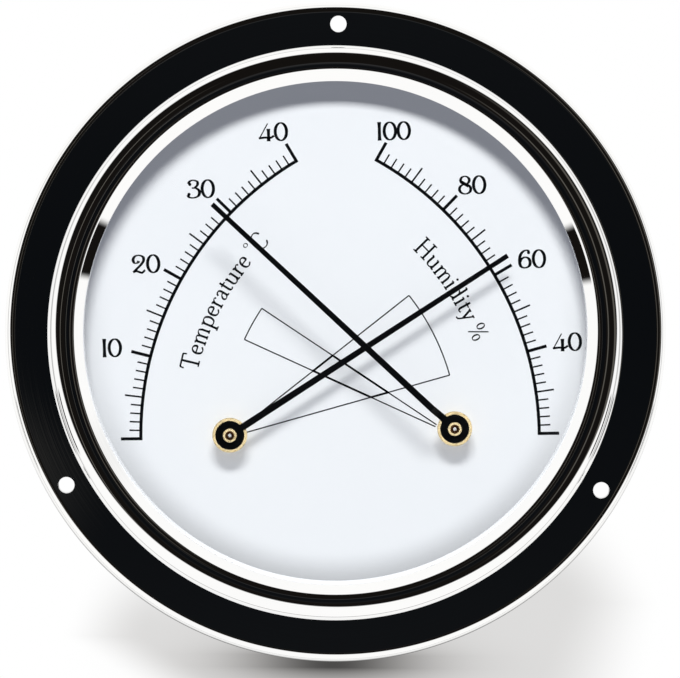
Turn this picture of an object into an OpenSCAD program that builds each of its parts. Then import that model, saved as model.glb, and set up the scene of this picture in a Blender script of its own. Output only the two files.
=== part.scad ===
// Thermo-hygrometer for mounting in a panel: a chromed case with a front flange, a bezel
// ring that holds the glass, and two long pointers that cross over one shared dial.
// A bimetal coil turns the thermometer pointer. A hair bundle, kept taut by a spiral
// spring, turns the hygrometer pointer.
//
// Millimetres. X is to the right and Z is up as the dial is read, and the face looks
// along -Y. The origin is the centre of the flange's back face, which lies on the panel.

/* [Case] */
// Diameter of the front flange
flange_d = 130; // [128:1:140]
// Thickness of the front flange
flange_t = 2.5; // [2.3:0.1:4]
// Radius of the flange's rounded front edge
flange_round = 2.0; // [0.5:0.1:2.2]
// Diameter of the case behind the flange
case_d = 108; // [107.8:0.1:109]
// Depth of the case behind the panel
case_depth = 34; // [32:1:45]
// Wall of the case
case_wall = 1.2; // [0.8:0.1:1.3]
// Radius of the case's rounded rear edge
case_round = 4; // [2:0.5:6]

/* [Mounting holes] */
// Diameter of the circle through the three screw holes
hole_circle_d = 121.6; // [119:0.1:122]
// Diameter of each screw hole
hole_d = 3.2; // [3:0.1:4.5]

/* [Bezel and glass] */
// Diameter where the bezel ring meets the flange
bezel_d = 113.2; // [113:0.1:115]
// Height of the bezel ring over the flange
bezel_rise = 2.1; // [2:0.05:2.3]
// Radius of the bezel's convex shoulder
shoulder_r = 4.4; // [4:0.1:5]
// Radius where the flat crest turns down to the glass
bezel_inner_round = 2.0; // [1:0.1:2.2]
// Slope of the bezel's inner cone
bezel_cone = 40; // [32:0.5:42]
// Diameter of the clear opening
opening_d = 99.2; // [98:0.2:100]
// Diameter of the glass
glass_d = 103.8; // [103:0.1:103.9]
// Thickness of the glass
glass_t = 1.6; // [1:0.1:1.7]
// Depth of the glass under the flange's face
glass_drop = 0.3; // [0.3:0.05:0.4]
// Thickness of the gasket under the bezel's lip
gasket_t = 0.35; // [0.25:0.05:0.4]

/* [Dial] */
// Depth of the dial's face behind the flange's back face
dial_depth = 6.4; // [6:0.1:8]
// Thickness of the dial
dial_t = 0.8; // [0.5:0.1:1]
// Turn of the dial and the movement in the case, anticlockwise
dial_turn = 2.2; // [0:0.1:3]
// Distance between the two pointer arbors
hub_pitch = 44.5; // [42:0.1:46]
// Height of the arbors under the dial's centre
hub_drop = 19.9; // [19:0.1:21]
// Offset of the arbors' midpoint to the right
hub_shift = 0.8; // [0:0.05:1]

/* [Pointers] */
// Length of both pointers from arbor to tip
pointer_len = 65.4; // [60:0.1:66]
// Width of a pointer at its eye
pointer_w = 1.4; // [1:0.1:2]
// Width of a pointer where it crosses the scale's arc
pointer_neck_w = 0.98; // [0.6:0.02:1.2]
// Width of the block outside the arc
pointer_tip_w = 0.96; // [0.8:0.02:1.3]
// Length of the block outside the arc
pointer_tip_len = 4.2; // [3:0.1:5]
// Thickness of a pointer
pointer_t = 0.26; // [0.2:0.02:0.4]
// Radius of a pointer's eye
eye_r = 2.85; // [2.5:0.05:3]
// Height of the pointers' eyes over the dial
eye_rise = 2.8; // [2.6:0.1:3]
// Height of the thermometer pointer over the dial beyond its crank
crank_rise = 6.4; // [5:0.1:6.6]
// Angle of the thermometer pointer at rest, anticlockwise from the right
thermo_angle = 135.4; // [119:0.1:180.3]
// Angle of the hygrometer pointer at rest, anticlockwise from the right
hygro_angle = 31.3; // [6.2:0.1:60.3]

/* [Movement] */
// Thickness of the movement plate
plate_t = 1.5; // [1.2:0.1:2]
// Thickness of the bridges
bridge_t = 1.5; // [1.2:0.1:2]
// Full turns of the bimetal coil
coil_turns = 4; // [2:1:4]
// Thickness of the bimetal strip
coil_strip_t = 0.4; // [0.3:0.05:0.5]
// Width of the bimetal strip
coil_strip_w = 5; // [3:0.5:6]
// Full turns of the hair's tension spring
spring_turns = 5; // [3:1:6]
// Distance from the hygrometer arbor to the hair
hair_arm = 1.3; // [1.25:0.05:1.6]
// Height of the hair's upper end over the dial's centre
hair_top = 28; // [22:1:28]
// Diameter of the hair bundle
hair_d = 0.7; // [0.5:0.1:0.9]

/* [Hidden] */
$fn = 72;

// How far a cutting tool runs past the face that it cuts, and how far two cuts overlap
cut = 1;
sliver = 0.01;

// Heights are given towards the reader, from the flange's back face
face_z = flange_t;
glass_top_z = face_z - glass_drop;
glass_back_z = glass_top_z - glass_t;
lip_z = glass_top_z + gasket_t;
dial_z = -dial_depth;
dial_back_z = dial_z - dial_t;
plate_back_z = dial_back_z - plate_t;
case_floor_z = -case_depth + case_wall;
eye_z = dial_z + eye_rise;
crank_z = dial_z + crank_rise;

// Radii
flange_r = flange_d / 2;
case_r = case_d / 2;
case_bore_r = case_r - case_wall;
// The case swells by this much where it is brazed into the flange
mouth_step = 0.6;
mouth_r = case_r + mouth_step;
bezel_r = bezel_d / 2;
opening_r = opening_d / 2;
glass_r = glass_d / 2;
glass_play = 0.1;
skirt_in_r = glass_r + glass_play;
skirt_out_r = case_bore_r - 0.05;
skirt_depth = 4;
shoulder_z = face_z + bezel_rise - shoulder_r;
crest_out_r = bezel_r - sqrt(pow(shoulder_r, 2) - pow(shoulder_r - bezel_rise, 2));
crest_w = 0.3;
crest_in_r = crest_out_r - crest_w;
gasket_in_r = opening_r + 0.3;
dial_r = glass_r;
plate_r = glass_r - 0.4;

// Places on the dial
thermo_x = hub_shift + hub_pitch / 2;
hygro_x = hub_shift - hub_pitch / 2;
hub_y = -hub_drop;
hair_x = hygro_x - hair_arm;
regulator_arm = 2.2;
hair_regulator_x = hair_x + regulator_arm;
pillar_circle_r = 44;
pillar_angles = [90, 210, 330];
foot_circle_r = 40;
foot_angles = [30, 150, 270];
foot_len = 3;
nut_t = 1.6;
nut_corner_r = 2.3;

// Arbors and their bearings
arbor_r = 0.5;
pivot_r = 0.35;
tip_r = 0.4;
running = 0.05;
collet_neck_r = 1.4;
collet_disc_r = 3.45;
collet_disc_t = 0.6;
collet_front_z = eye_z + 0.6;
collet_back_z = eye_z - 1.8;
bush_r = 2.2;
bush_flange_r = 3.2;
bush_front_z = dial_z + 0.4;
bush_back_z = plate_back_z - 2;
dial_hole_r = bush_r + 0.3;

// Bridges: each is a strip on two pillars, an equal way above and below its bore
thermo_bridge_z = -21;
hygro_bridge_z = -18;
hair_bridge_z = -18;
// Turns of the three bridges, from upright, that keep their pillars off the hair
thermo_bridge_turn = 0;
hygro_bridge_turn = -45;
hair_bridge_turn = 90;
bridge_half_span = 13;
hair_bridge_half_span = 8;
bridge_w = 9;
bridge_pillar_r = 2.5;
screw_r = 1.0;
screw_head_r = 1.9;
screw_head_t = 1.2;
bridge_screw_end_z = dial_back_z - 0.2;

// Regulators: a stud, its flange and its spring washer
regulator_r = 3.0;
regulator_flange_w = 1.2;
regulator_flange_t = 0.8;
washer_w = 1.4;
washer_t = 0.8;

// Case pillars and their screws
pillar_r = 3.2;
case_screw_r = 1.45;
case_screw_head_r = 2.8;
case_screw_head_t = 1.6;
case_screw_len = 7;
slot_w = 0.7;
slot_depth = 0.7;
// The plate screws' countersunk heads, and the play round a screw
sunk_depth = plate_t * 0.8;
sunk_r = 2.7;
screw_play = 0.05;
plate_screw_len = 5;

// Rear wall
access_r = 1.9;
vent_r = 1.2;
vent_rings = [[8, 6], [14, 12]];

// Bimetal coil and tension spring
coil_inner_r = 3.0;
coil_pitch = 1.3;
coil_front_z = -12.6;
coil_end_r = coil_inner_r + coil_pitch * coil_turns;
coil_stud_r = 0.8;
coil_end_angle = 0;
spring_inner_r = 1.7;
spring_pitch = 0.8;
spring_strip_t = 0.2;
spring_strip_w = 0.8;
spring_front_z = -15.2;
spring_end_r = spring_inner_r + spring_pitch * spring_turns;
spring_end_angle = 40;

// Hair and what holds it
hair_z = -13;
crank_t = 1.0;
ferrule_r = 0.52;
ferrule_len = 3;
hair_pin_r = 0.25;
hair_eye_r = 0.66;
hair_eye_half_t = 0.6;
// How far from a pin's axis the hair starts inside its ferrule
hair_start = hair_eye_r + 0.8;
// The lower eye is a loose loop, as the crank's pin swings through an arc inside it
crank_eye_bore = 0.44;
regulator_eye_bore = hair_pin_r + 0.02;

chrome = [0.83, 0.84, 0.86];
brass = [0.80, 0.66, 0.36];
steel = [0.62, 0.63, 0.65];
white = [0.93, 0.94, 0.96];
black = [0.05, 0.05, 0.06];
clear = [0.80, 0.90, 0.95, 0.35];
rubber = [0.16, 0.16, 0.17];
bimetal = [0.72, 0.62, 0.48];
hair_colour = [0.78, 0.66, 0.44];

// The gaps between the turns of both spirals, measured on points
function spiral_point(r0, pitch, a) = let (r = r0 + pitch * a / 360) [r * cos(a), r * sin(a)];
function turn_gap(r0, pitch, t, turns) =
    min([for (a = [0 : 12 : 360 * (turns - 1)])
        norm(spiral_point(r0, pitch, a + 360) - spiral_point(r0, pitch, a)) - t]);
echo(coil_gap = turn_gap(coil_inner_r, coil_pitch, coil_strip_t, coil_turns));
echo(spring_gap = turn_gap(spring_inner_r, spring_pitch, spring_strip_t, spring_turns));

// Drawn with x to the right, y up and z to the reader, then stood upright
module upright() {
    rotate([90, 0, 0])
        children();
}

module in_dial_frame() {
    upright()
        rotate([0, 0, dial_turn])
            children();
}

module at_thermo() {
    in_dial_frame()
        translate([thermo_x, hub_y, 0])
            children();
}

module at_hygro() {
    in_dial_frame()
        translate([hygro_x, hub_y, 0])
            children();
}

module at_hair_regulator() {
    in_dial_frame()
        translate([hair_regulator_x, hair_top, 0])
            children();
}

module at_thermo_bridge() {
    at_thermo()
        rotate([0, 0, thermo_bridge_turn])
            children();
}

module at_hygro_bridge() {
    at_hygro()
        rotate([0, 0, hygro_bridge_turn])
            children();
}

module at_hair_bridge() {
    at_hair_regulator()
        rotate([0, 0, hair_bridge_turn])
            children();
}

// A round bar between two heights
module bar(r, z0, z1) {
    translate([0, 0, z0])
        cylinder(h = z1 - z0, r = r);
}

// A bored round bar between two heights
module tube(r, bore, z0, z1) {
    difference() {
        bar(r, z0, z1);
        bar(bore, z0 - cut, z1 + cut);
    }
}

// Repeats its children round a circle
module round_circle(radius, angles) {
    for (a = angles)
        rotate([0, 0, a])
            translate([radius, 0, 0])
                children();
}

// A quarter disc that rounds the corner of a profile, right way up or down
module corner(r, x, y, up) {
    translate([x, y])
        intersection() {
            circle(r = r);
            translate([0, up ? 0 : -r])
                square([r, r]);
        }
}

// Half section of a cup with a rounded lower edge, from its axis outwards
module cup_section(r, floor_z, top_z, round) {
    union() {
        translate([0, floor_z + round])
            square([r, top_z - floor_z - round]);
        translate([0, floor_z])
            square([r - round, round]);
        corner(round, r - round, floor_z + round, false);
    }
}

// A slotted cheese head with its shank, head outermost towards -z
module cheese_screw(head_r, head_t, shank_r, shank_len) {
    difference() {
        union() {
            bar(head_r, -head_t, 0);
            bar(shank_r, 0, shank_len);
        }
        translate([-head_r - cut, -slot_w / 2, -head_t - cut])
            cube([2 * (head_r + cut), slot_w, slot_depth + cut]);
    }
}

// The strip of a flat spiral from its inner to its outer end
module spiral_strip(r0, pitch, turns, t, end_angle) {
    step = 12;
    last = 360 * turns;
    outer = [for (a = [0 : step : last]) spiral_point(r0 + t / 2, pitch, a)];
    inner = [for (a = [last : -step : 0]) spiral_point(r0 - t / 2, pitch, a)];
    rotate([0, 0, end_angle])
        polygon(concat(outer, inner));
}

// Flange ring and case shell

module flange_section() {
    difference() {
        union() {
            square([flange_r - flange_round, flange_t]);
            square([flange_r, flange_t - flange_round]);
            corner(flange_round, flange_r - flange_round, flange_t - flange_round, true);
        }
        translate([0, -cut])
            square([mouth_r, flange_t + 2 * cut]);
    }
}

module flange_ring() {
    color(chrome)
        upright()
            difference() {
                rotate_extrude()
                    flange_section();
                round_circle(hole_circle_d / 2, pillar_angles)
                    bar(hole_d / 2, -cut, flange_t + cut);
            }
}

module shell_section() {
    difference() {
        union() {
            cup_section(case_r, -case_depth, 0, case_round);
            square([mouth_r, flange_t]);
        }
        cup_section(case_bore_r, case_floor_z, flange_t + cut, case_round - case_wall);
    }
}

// A deep drawn cup that is brazed into the flange ring
module case_shell() {
    color(chrome)
        upright()
            difference() {
                rotate_extrude()
                    shell_section();
                rotate([0, 0, dial_turn])
                    rear_holes();
            }
}

// Holes in the case's rear wall: pillar screws, regulator access and vents
module rear_holes() {
    z0 = -case_depth - cut;
    z1 = case_floor_z + cut;
    round_circle(pillar_circle_r, pillar_angles)
        bar(case_screw_r + 0.15, z0, z1);
    translate([thermo_x, hub_y, 0])
        bar(access_r, z0, z1);
    translate([hair_regulator_x, hair_top, 0])
        bar(access_r, z0, z1);
    for (ring = vent_rings)
        round_circle(ring[0], [for (i = [0 : ring[1] - 1]) 360 * i / ring[1]])
            bar(vent_r, z0, z1);
}

// Bezel, glass and spacer

// Half section of the bezel: outer shoulder, flat crest, inner roll and cone, with a
// skirt that goes into the case's mouth
module bezel_section() {
    roll_x = crest_in_r - bezel_inner_round * sin(bezel_cone);
    roll_z = face_z + bezel_rise - bezel_inner_round * (1 - cos(bezel_cone));
    cone_z = roll_z - (roll_x - opening_r) * tan(bezel_cone);
    difference() {
        union() {
            translate([opening_r, lip_z])
                square([crest_out_r - opening_r, face_z + bezel_rise - lip_z]);
            translate([skirt_in_r, face_z])
                square([crest_out_r - skirt_in_r, lip_z - face_z]);
            translate([skirt_in_r, face_z - skirt_depth])
                square([skirt_out_r - skirt_in_r, skirt_depth]);
            translate([crest_out_r, shoulder_z])
                intersection() {
                    circle(r = shoulder_r);
                    translate([0, shoulder_r - bezel_rise])
                        square([shoulder_r, bezel_rise]);
                }
        }
        polygon([
            [opening_r - cut, cone_z + cut * 4],
            [opening_r - cut, cone_z - cut * tan(bezel_cone)],
            [roll_x, roll_z],
            [roll_x, cone_z + cut * 4]
        ]);
        difference() {
            translate([roll_x - sliver, roll_z])
                square([crest_in_r - roll_x + sliver, cut]);
            translate([crest_in_r, face_z + bezel_rise - bezel_inner_round])
                circle(r = bezel_inner_round);
        }
    }
}

module bezel_ring() {
    color(chrome)
        upright()
            rotate_extrude()
                bezel_section();
}

module glass() {
    color(clear)
        upright()
            bar(glass_r, glass_back_z, glass_top_z);
}

module glass_gasket() {
    color(rubber)
        upright()
            tube(glass_r, gasket_in_r, glass_top_z, lip_z);
}

module spacer_ring() {
    color(white)
        upright()
            tube(glass_r, opening_r, dial_z, glass_back_z);
}

// Dial and how it is fixed

module dial() {
    color(white)
        in_dial_frame()
            difference() {
                bar(dial_r, dial_back_z, dial_z);
                for (x = [thermo_x, hygro_x])
                    translate([x, hub_y, 0])
                        bar(dial_hole_r, dial_back_z - cut, dial_z + cut);
            }
}

module dial_feet() {
    color(brass)
        in_dial_frame()
            round_circle(foot_circle_r, foot_angles)
                bar(screw_r, plate_back_z - foot_len, dial_back_z);
}

module dial_foot_nuts() {
    color(brass)
        in_dial_frame()
            round_circle(foot_circle_r, foot_angles)
                difference() {
                    translate([0, 0, plate_back_z - nut_t])
                        cylinder(h = nut_t, r = nut_corner_r, $fn = 6);
                    bar(screw_r, plate_back_z - nut_t - cut, plate_back_z + cut);
                }
}

// Movement plate, with what carries it

module movement_plate() {
    z0 = plate_back_z - cut;
    z1 = dial_back_z + cut;
    color(brass)
        in_dial_frame()
            difference() {
                bar(plate_r, plate_back_z, dial_back_z);
                for (x = [thermo_x, hygro_x])
                    translate([x, hub_y, 0])
                        bar(bush_r, z0, z1);
                round_circle(foot_circle_r, foot_angles)
                    bar(screw_r + screw_play, z0, z1);
                round_circle(pillar_circle_r, pillar_angles) {
                    bar(case_screw_r + screw_play, z0, z1);
                    translate([0, 0, dial_back_z - sunk_depth])
                        cylinder(h = sunk_depth, r1 = case_screw_r + screw_play,
                            r2 = sunk_r + screw_play);
                }
                bridge_places()
                    bar(screw_r + screw_play, z0, z1);
            }
}

// Countersunk, with their heads flush under the dial
module plate_screws() {
    color(steel)
        in_dial_frame()
            round_circle(pillar_circle_r, pillar_angles)
                difference() {
                    union() {
                        bar(case_screw_r, plate_back_z - plate_screw_len, dial_back_z);
                        translate([0, 0, dial_back_z - sunk_depth])
                            cylinder(h = sunk_depth, r1 = case_screw_r, r2 = sunk_r);
                    }
                    translate([-sunk_r - cut, -slot_w / 2, dial_back_z - slot_depth])
                        cube([2 * (sunk_r + cut), slot_w, slot_depth + cut]);
                }
}

module case_pillars() {
    color(brass)
        in_dial_frame()
            round_circle(pillar_circle_r, pillar_angles)
                tube(pillar_r, case_screw_r + screw_play, case_floor_z, plate_back_z);
}

module case_screws() {
    color(steel)
        in_dial_frame()
            round_circle(pillar_circle_r, pillar_angles)
                translate([0, 0, -case_depth])
                    cheese_screw(case_screw_head_r, case_screw_head_t, case_screw_r,
                        case_screw_len);
}

// Bridges

// The places of all six bridge pillars
module bridge_places() {
    for (b = [
        [thermo_x, hub_y, thermo_bridge_turn, bridge_half_span],
        [hygro_x, hub_y, hygro_bridge_turn, bridge_half_span],
        [hair_regulator_x, hair_top, hair_bridge_turn, hair_bridge_half_span]
    ])
        translate([b[0], b[1], 0])
            rotate([0, 0, b[2]])
                for (s = [-1, 1])
                    translate([0, s * b[3], 0])
                        children();
}

// A strip with round ends, a bore in its middle and a screw hole at each end
module bridge_strip(half_span, bore, back_z) {
    z0 = back_z - cut;
    z1 = back_z + bridge_t + cut;
    difference() {
        union() {
            translate([-bridge_w / 2, -half_span, back_z])
                cube([bridge_w, 2 * half_span, bridge_t]);
            for (s = [-1, 1])
                translate([0, s * half_span, 0])
                    bar(bridge_w / 2, back_z, back_z + bridge_t);
        }
        bar(bore, z0, z1);
        for (s = [-1, 1])
            translate([0, s * half_span, 0])
                bar(screw_r + screw_play, z0, z1);
    }
}

// Pillars between the movement plate and a bridge at the given height
module pillar_pair(half_span, front_z) {
    for (s = [-1, 1])
        translate([0, s * half_span, 0])
            tube(bridge_pillar_r, screw_r + screw_play, front_z, plate_back_z);
}

module bridge_pillars() {
    color(brass) {
        at_thermo_bridge()
            pillar_pair(bridge_half_span, thermo_bridge_z);
        at_hygro_bridge()
            pillar_pair(bridge_half_span, hygro_bridge_z);
        at_hair_bridge()
            pillar_pair(hair_bridge_half_span, hair_bridge_z);
    }
}

// Long screws from behind each bridge, through its pillars, into the plate
module screw_pair(half_span, back_z) {
    for (s = [-1, 1])
        translate([0, s * half_span, back_z])
            cheese_screw(screw_head_r, screw_head_t, screw_r, bridge_screw_end_z - back_z);
}

module bridge_screws() {
    color(steel) {
        at_thermo_bridge()
            screw_pair(bridge_half_span, thermo_bridge_z - bridge_t);
        at_hygro_bridge()
            screw_pair(bridge_half_span, hygro_bridge_z - bridge_t);
        at_hair_bridge()
            screw_pair(hair_bridge_half_span, hair_bridge_z - bridge_t);
    }
}

module thermo_bridge() {
    color(brass)
        at_thermo_bridge()
            bridge_strip(bridge_half_span, regulator_r + running, thermo_bridge_z - bridge_t);
}

module hygro_bridge() {
    color(brass)
        at_hygro_bridge()
            bridge_strip(bridge_half_span, pivot_r + running, hygro_bridge_z - bridge_t);
}

module hair_bridge() {
    color(brass)
        at_hair_bridge()
            bridge_strip(hair_bridge_half_span, regulator_r + running, hair_bridge_z - bridge_t);
}

// Parts that both pointer arbors have

module front_bush() {
    difference() {
        union() {
            bar(bush_r, bush_back_z, bush_front_z);
            bar(bush_flange_r, bush_back_z, plate_back_z);
        }
        bar(arbor_r + running, bush_back_z - cut, bush_front_z + cut);
    }
}

// A shaft that is thinner at its tip and at its rear pivot
module arbor(back_z, shoulder_z) {
    bar(pivot_r, back_z, shoulder_z);
    bar(arbor_r, shoulder_z, collet_back_z);
    bar(tip_r, collet_back_z, collet_front_z - 0.1);
}

// The turned brass hub that carries a pointer's eye, dished round the arbor's tip
module collet() {
    dish_r = 0.95;
    dish_depth = 0.45;
    disc_front_z = eye_z - pointer_t / 2;
    difference() {
        union() {
            bar(collet_neck_r, collet_back_z, collet_front_z);
            bar(collet_disc_r, disc_front_z - collet_disc_t, disc_front_z);
        }
        bar(tip_r, collet_back_z - cut, collet_front_z + cut);
        translate([0, 0, collet_front_z - dish_depth])
            cylinder(h = dish_depth, r1 = tip_r, r2 = dish_r);
    }
}

// Plan of a pointer along +x: a blade that narrows to the arc, then a wider block
module blade_plan() {
    neck_x = pointer_len - pointer_tip_len;
    polygon([
        [0, -pointer_w / 2],
        [neck_x, -pointer_neck_w / 2],
        [neck_x + 0.3, -pointer_tip_w / 2],
        [pointer_len, -pointer_tip_w / 2],
        [pointer_len, pointer_tip_w / 2],
        [neck_x + 0.3, pointer_tip_w / 2],
        [neck_x, pointer_neck_w / 2],
        [0, pointer_w / 2]
    ]);
}

// Side view of a pointer along +x, cranked up by rise between two distances
module blade_side(x0, x1, rise) {
    lift = pointer_t / 2;
    bend = pointer_t * tan(atan2(rise, x1 - x0) / 2);
    polygon([
        [0, -lift],
        [x0 + bend / 2, -lift],
        [x1 + bend / 2, rise - lift],
        [pointer_len + cut, rise - lift],
        [pointer_len + cut, rise + lift],
        [x1 - bend / 2, rise + lift],
        [x0 - bend / 2, lift],
        [0, lift]
    ]);
}

// A pointer along +x with its eye at the origin
module pointer(x0, x1, rise) {
    height = 20;
    difference() {
        union() {
            intersection() {
                translate([0, 0, -height / 2])
                    linear_extrude(height)
                        blade_plan();
                translate([0, height / 2, 0])
                    rotate([90, 0, 0])
                        linear_extrude(height)
                            blade_side(x0, x1, rise);
            }
            bar(eye_r, -pointer_t / 2, pointer_t / 2);
        }
        bar(collet_neck_r, -cut, cut);
    }
}

// Thermometer

crank_start = 3.7;
crank_end = 6.1;
thermo_pivot_z = -22.4;

module thermo_front_bush() {
    color(brass)
        at_thermo()
            front_bush();
}

module thermo_arbor() {
    color(steel)
        at_thermo()
            arbor(thermo_pivot_z, thermo_bridge_z + 1.1);
}

module thermo_collet() {
    color(brass)
        at_thermo()
            collet();
}

module thermo_pointer() {
    color(black)
        at_thermo()
            rotate([0, 0, thermo_angle])
                translate([0, 0, eye_z])
                    pointer(crank_start, crank_end, crank_z - eye_z);
}

// The brass collar that the coil's inner end is fixed to
module thermo_coil_collet() {
    color(brass)
        at_thermo()
            tube(coil_inner_r - coil_strip_t / 2 - 0.05, arbor_r,
                coil_front_z - coil_strip_w, coil_front_z);
}

module bimetal_coil() {
    color(bimetal)
        at_thermo()
            translate([0, 0, coil_front_z - coil_strip_w])
                linear_extrude(coil_strip_w)
                    spiral_strip(coil_inner_r, coil_pitch, coil_turns, coil_strip_t,
                        coil_end_angle);
}

// The post on the regulator's arm that the coil's outer end is fixed to
module coil_stud() {
    post_r = coil_end_r + coil_strip_t / 2 + coil_stud_r + 0.02;
    color(steel)
        at_thermo()
            rotate([0, 0, coil_end_angle])
                translate([post_r, 0, 0])
                    bar(coil_stud_r, thermo_bridge_z + regulator_flange_t, coil_front_z);
}

// A turned stud with a slotted rear end, a flange and an arm
module regulator(front_z, back_z, bridge_front_z, arm_len, arm_w, arm_angle, bore_end_z) {
    flange_front_z = bridge_front_z + regulator_flange_t;
    difference() {
        union() {
            bar(regulator_r, back_z, front_z);
            bar(regulator_r + regulator_flange_w, bridge_front_z, flange_front_z);
            rotate([0, 0, arm_angle]) {
                translate([0, -arm_w / 2, bridge_front_z])
                    cube([arm_len, arm_w, regulator_flange_t]);
                translate([arm_len, 0, 0])
                    bar(arm_w / 2, bridge_front_z, flange_front_z);
            }
        }
        bar(pivot_r + running, bore_end_z, front_z + cut);
        translate([-regulator_r - cut, -slot_w / 2, back_z - cut])
            cube([2 * (regulator_r + cut), slot_w, slot_depth + cut]);
    }
}

module thermo_regulator() {
    color(brass)
        at_thermo()
            regulator(thermo_bridge_z + regulator_flange_t, thermo_bridge_z - 4.5,
                thermo_bridge_z, coil_end_r + coil_strip_t / 2 + coil_stud_r, 2.4,
                coil_end_angle, thermo_pivot_z - 0.1);
}

// Spring washers that hold a regulator by friction, behind its bridge
module regulator_washer(bridge_back_z) {
    tube(regulator_r + washer_w, regulator_r, bridge_back_z - washer_t, bridge_back_z);
}

module thermo_regulator_washer() {
    color(steel)
        at_thermo()
            regulator_washer(thermo_bridge_z - bridge_t);
}

// Hygrometer

hygro_pivot_z = -19.4;

module hygro_front_bush() {
    color(brass)
        at_hygro()
            front_bush();
}

module hygro_arbor() {
    color(steel)
        at_hygro()
            arbor(hygro_pivot_z, hygro_bridge_z + 0.4);
}

module hygro_collet() {
    color(brass)
        at_hygro()
            collet();
}

module hygro_pointer() {
    color(black)
        at_hygro()
            rotate([0, 0, hygro_angle])
                translate([0, 0, eye_z])
                    pointer(crank_start, crank_end, 0);
}

// The short arm on the arbor that the hair pulls, with its pin
module hair_crank() {
    back_z = hair_z + 0.7;
    color(brass)
        at_hygro() {
            difference() {
                union() {
                    bar(1.3, back_z, back_z + crank_t);
                    translate([-hair_arm, 0, 0])
                        bar(0.6, back_z, back_z + crank_t);
                }
                bar(arbor_r, back_z - cut, back_z + crank_t + cut);
            }
            translate([-hair_arm, 0, 0])
                bar(hair_pin_r, hair_z - 0.8, back_z + 0.2);
        }
}

// A crimped ferrule: an eye round a pin at the origin and a sleeve along +y
module ferrule(bore) {
    difference() {
        union() {
            bar(hair_eye_r, hair_z - hair_eye_half_t, hair_z + hair_eye_half_t);
            translate([0, hair_eye_r - 0.12, hair_z])
                rotate([-90, 0, 0])
                    cylinder(h = ferrule_len, r = ferrule_r);
        }
        bar(bore, hair_z - 1 - cut, hair_z + 1 + cut);
        translate([0, hair_start, hair_z])
            rotate([-90, 0, 0])
                cylinder(h = ferrule_len, r = hair_d / 2);
    }
}

module crank_ferrule() {
    color(brass)
        in_dial_frame()
            translate([hair_x, hub_y, 0])
                ferrule(crank_eye_bore);
}

module regulator_ferrule() {
    color(brass)
        in_dial_frame()
            translate([hair_x, hair_top, 0])
                rotate([0, 0, 180])
                    ferrule(regulator_eye_bore);
}

module hair_bundle() {
    start_y = hub_y + hair_start;
    end_y = hair_top - hair_start;
    color(hair_colour)
        in_dial_frame()
            translate([hair_x, start_y, hair_z])
                rotate([-90, 0, 0])
                    cylinder(h = end_y - start_y, r = hair_d / 2 - 0.01);
}

// The collar on the arbor that holds the spring's inner end
module spring_collet() {
    color(brass)
        at_hygro()
            tube(spring_inner_r - spring_strip_t / 2 - 0.05, arbor_r,
                spring_front_z - 1.2, spring_front_z + 0.2);
}

module tension_spring() {
    color(steel)
        at_hygro()
            translate([0, 0, spring_front_z - spring_strip_w])
                linear_extrude(spring_strip_w)
                    spiral_strip(spring_inner_r, spring_pitch, spring_turns, spring_strip_t,
                        spring_end_angle);
}

// The post on the bridge that holds the spring's outer end
module spring_stud() {
    stud_r = 0.5;
    post_r = spring_end_r + spring_strip_t / 2 + stud_r + 0.02;
    strut_w = 1.6;
    strut_t = 0.8;
    strut_start = 1.5;
    color(brass)
        at_hygro()
            rotate([0, 0, spring_end_angle]) {
                translate([post_r, 0, 0])
                    bar(stud_r, hygro_bridge_z + strut_t, spring_front_z + 0.3);
                translate([0, -strut_w / 2, hygro_bridge_z])
                    difference() {
                        cube([post_r + stud_r, strut_w, strut_t]);
                        translate([0, strut_w / 2, 0])
                            bar(strut_start, -cut, strut_t + cut);
                    }
            }
}

// The regulator that draws the hair up or lets it down, with a slotted rear end
module hygro_regulator() {
    back_z = hair_bridge_z - 7.5;
    arm_front_z = hair_bridge_z + regulator_flange_t;
    color(brass)
        at_hair_regulator() {
            difference() {
                union() {
                    bar(regulator_r, back_z, arm_front_z);
                    bar(regulator_r + regulator_flange_w, hair_bridge_z, arm_front_z);
                }
                translate([-regulator_r - cut, -slot_w / 2, back_z - cut])
                    cube([2 * (regulator_r + cut), slot_w, slot_depth + cut]);
            }
            translate([-regulator_arm, 0, 0])
                bar(hair_pin_r, arm_front_z - 0.2, hair_z + 0.8);
        }
}

module hygro_regulator_washer() {
    color(steel)
        at_hair_regulator()
            regulator_washer(hair_bridge_z - bridge_t);
}

flange_ring();
case_shell();
bezel_ring();
glass();
glass_gasket();
spacer_ring();
dial();
dial_feet();
dial_foot_nuts();
movement_plate();
plate_screws();
case_pillars();
case_screws();
bridge_pillars();
bridge_screws();
thermo_bridge();
thermo_front_bush();
thermo_arbor();
thermo_collet();
thermo_pointer();
thermo_coil_collet();
bimetal_coil();
coil_stud();
thermo_regulator();
thermo_regulator_washer();
hygro_bridge();
hygro_front_bush();
hygro_arbor();
hygro_collet();
hygro_pointer();
hair_crank();
crank_ferrule();
hair_bundle();
spring_collet();
tension_spring();
spring_stud();
hair_bridge();
hygro_regulator();
regulator_ferrule();
hygro_regulator_washer();
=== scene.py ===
import math

import bmesh
import bpy
import numpy as np
from mathutils import Matrix, Vector


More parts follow.
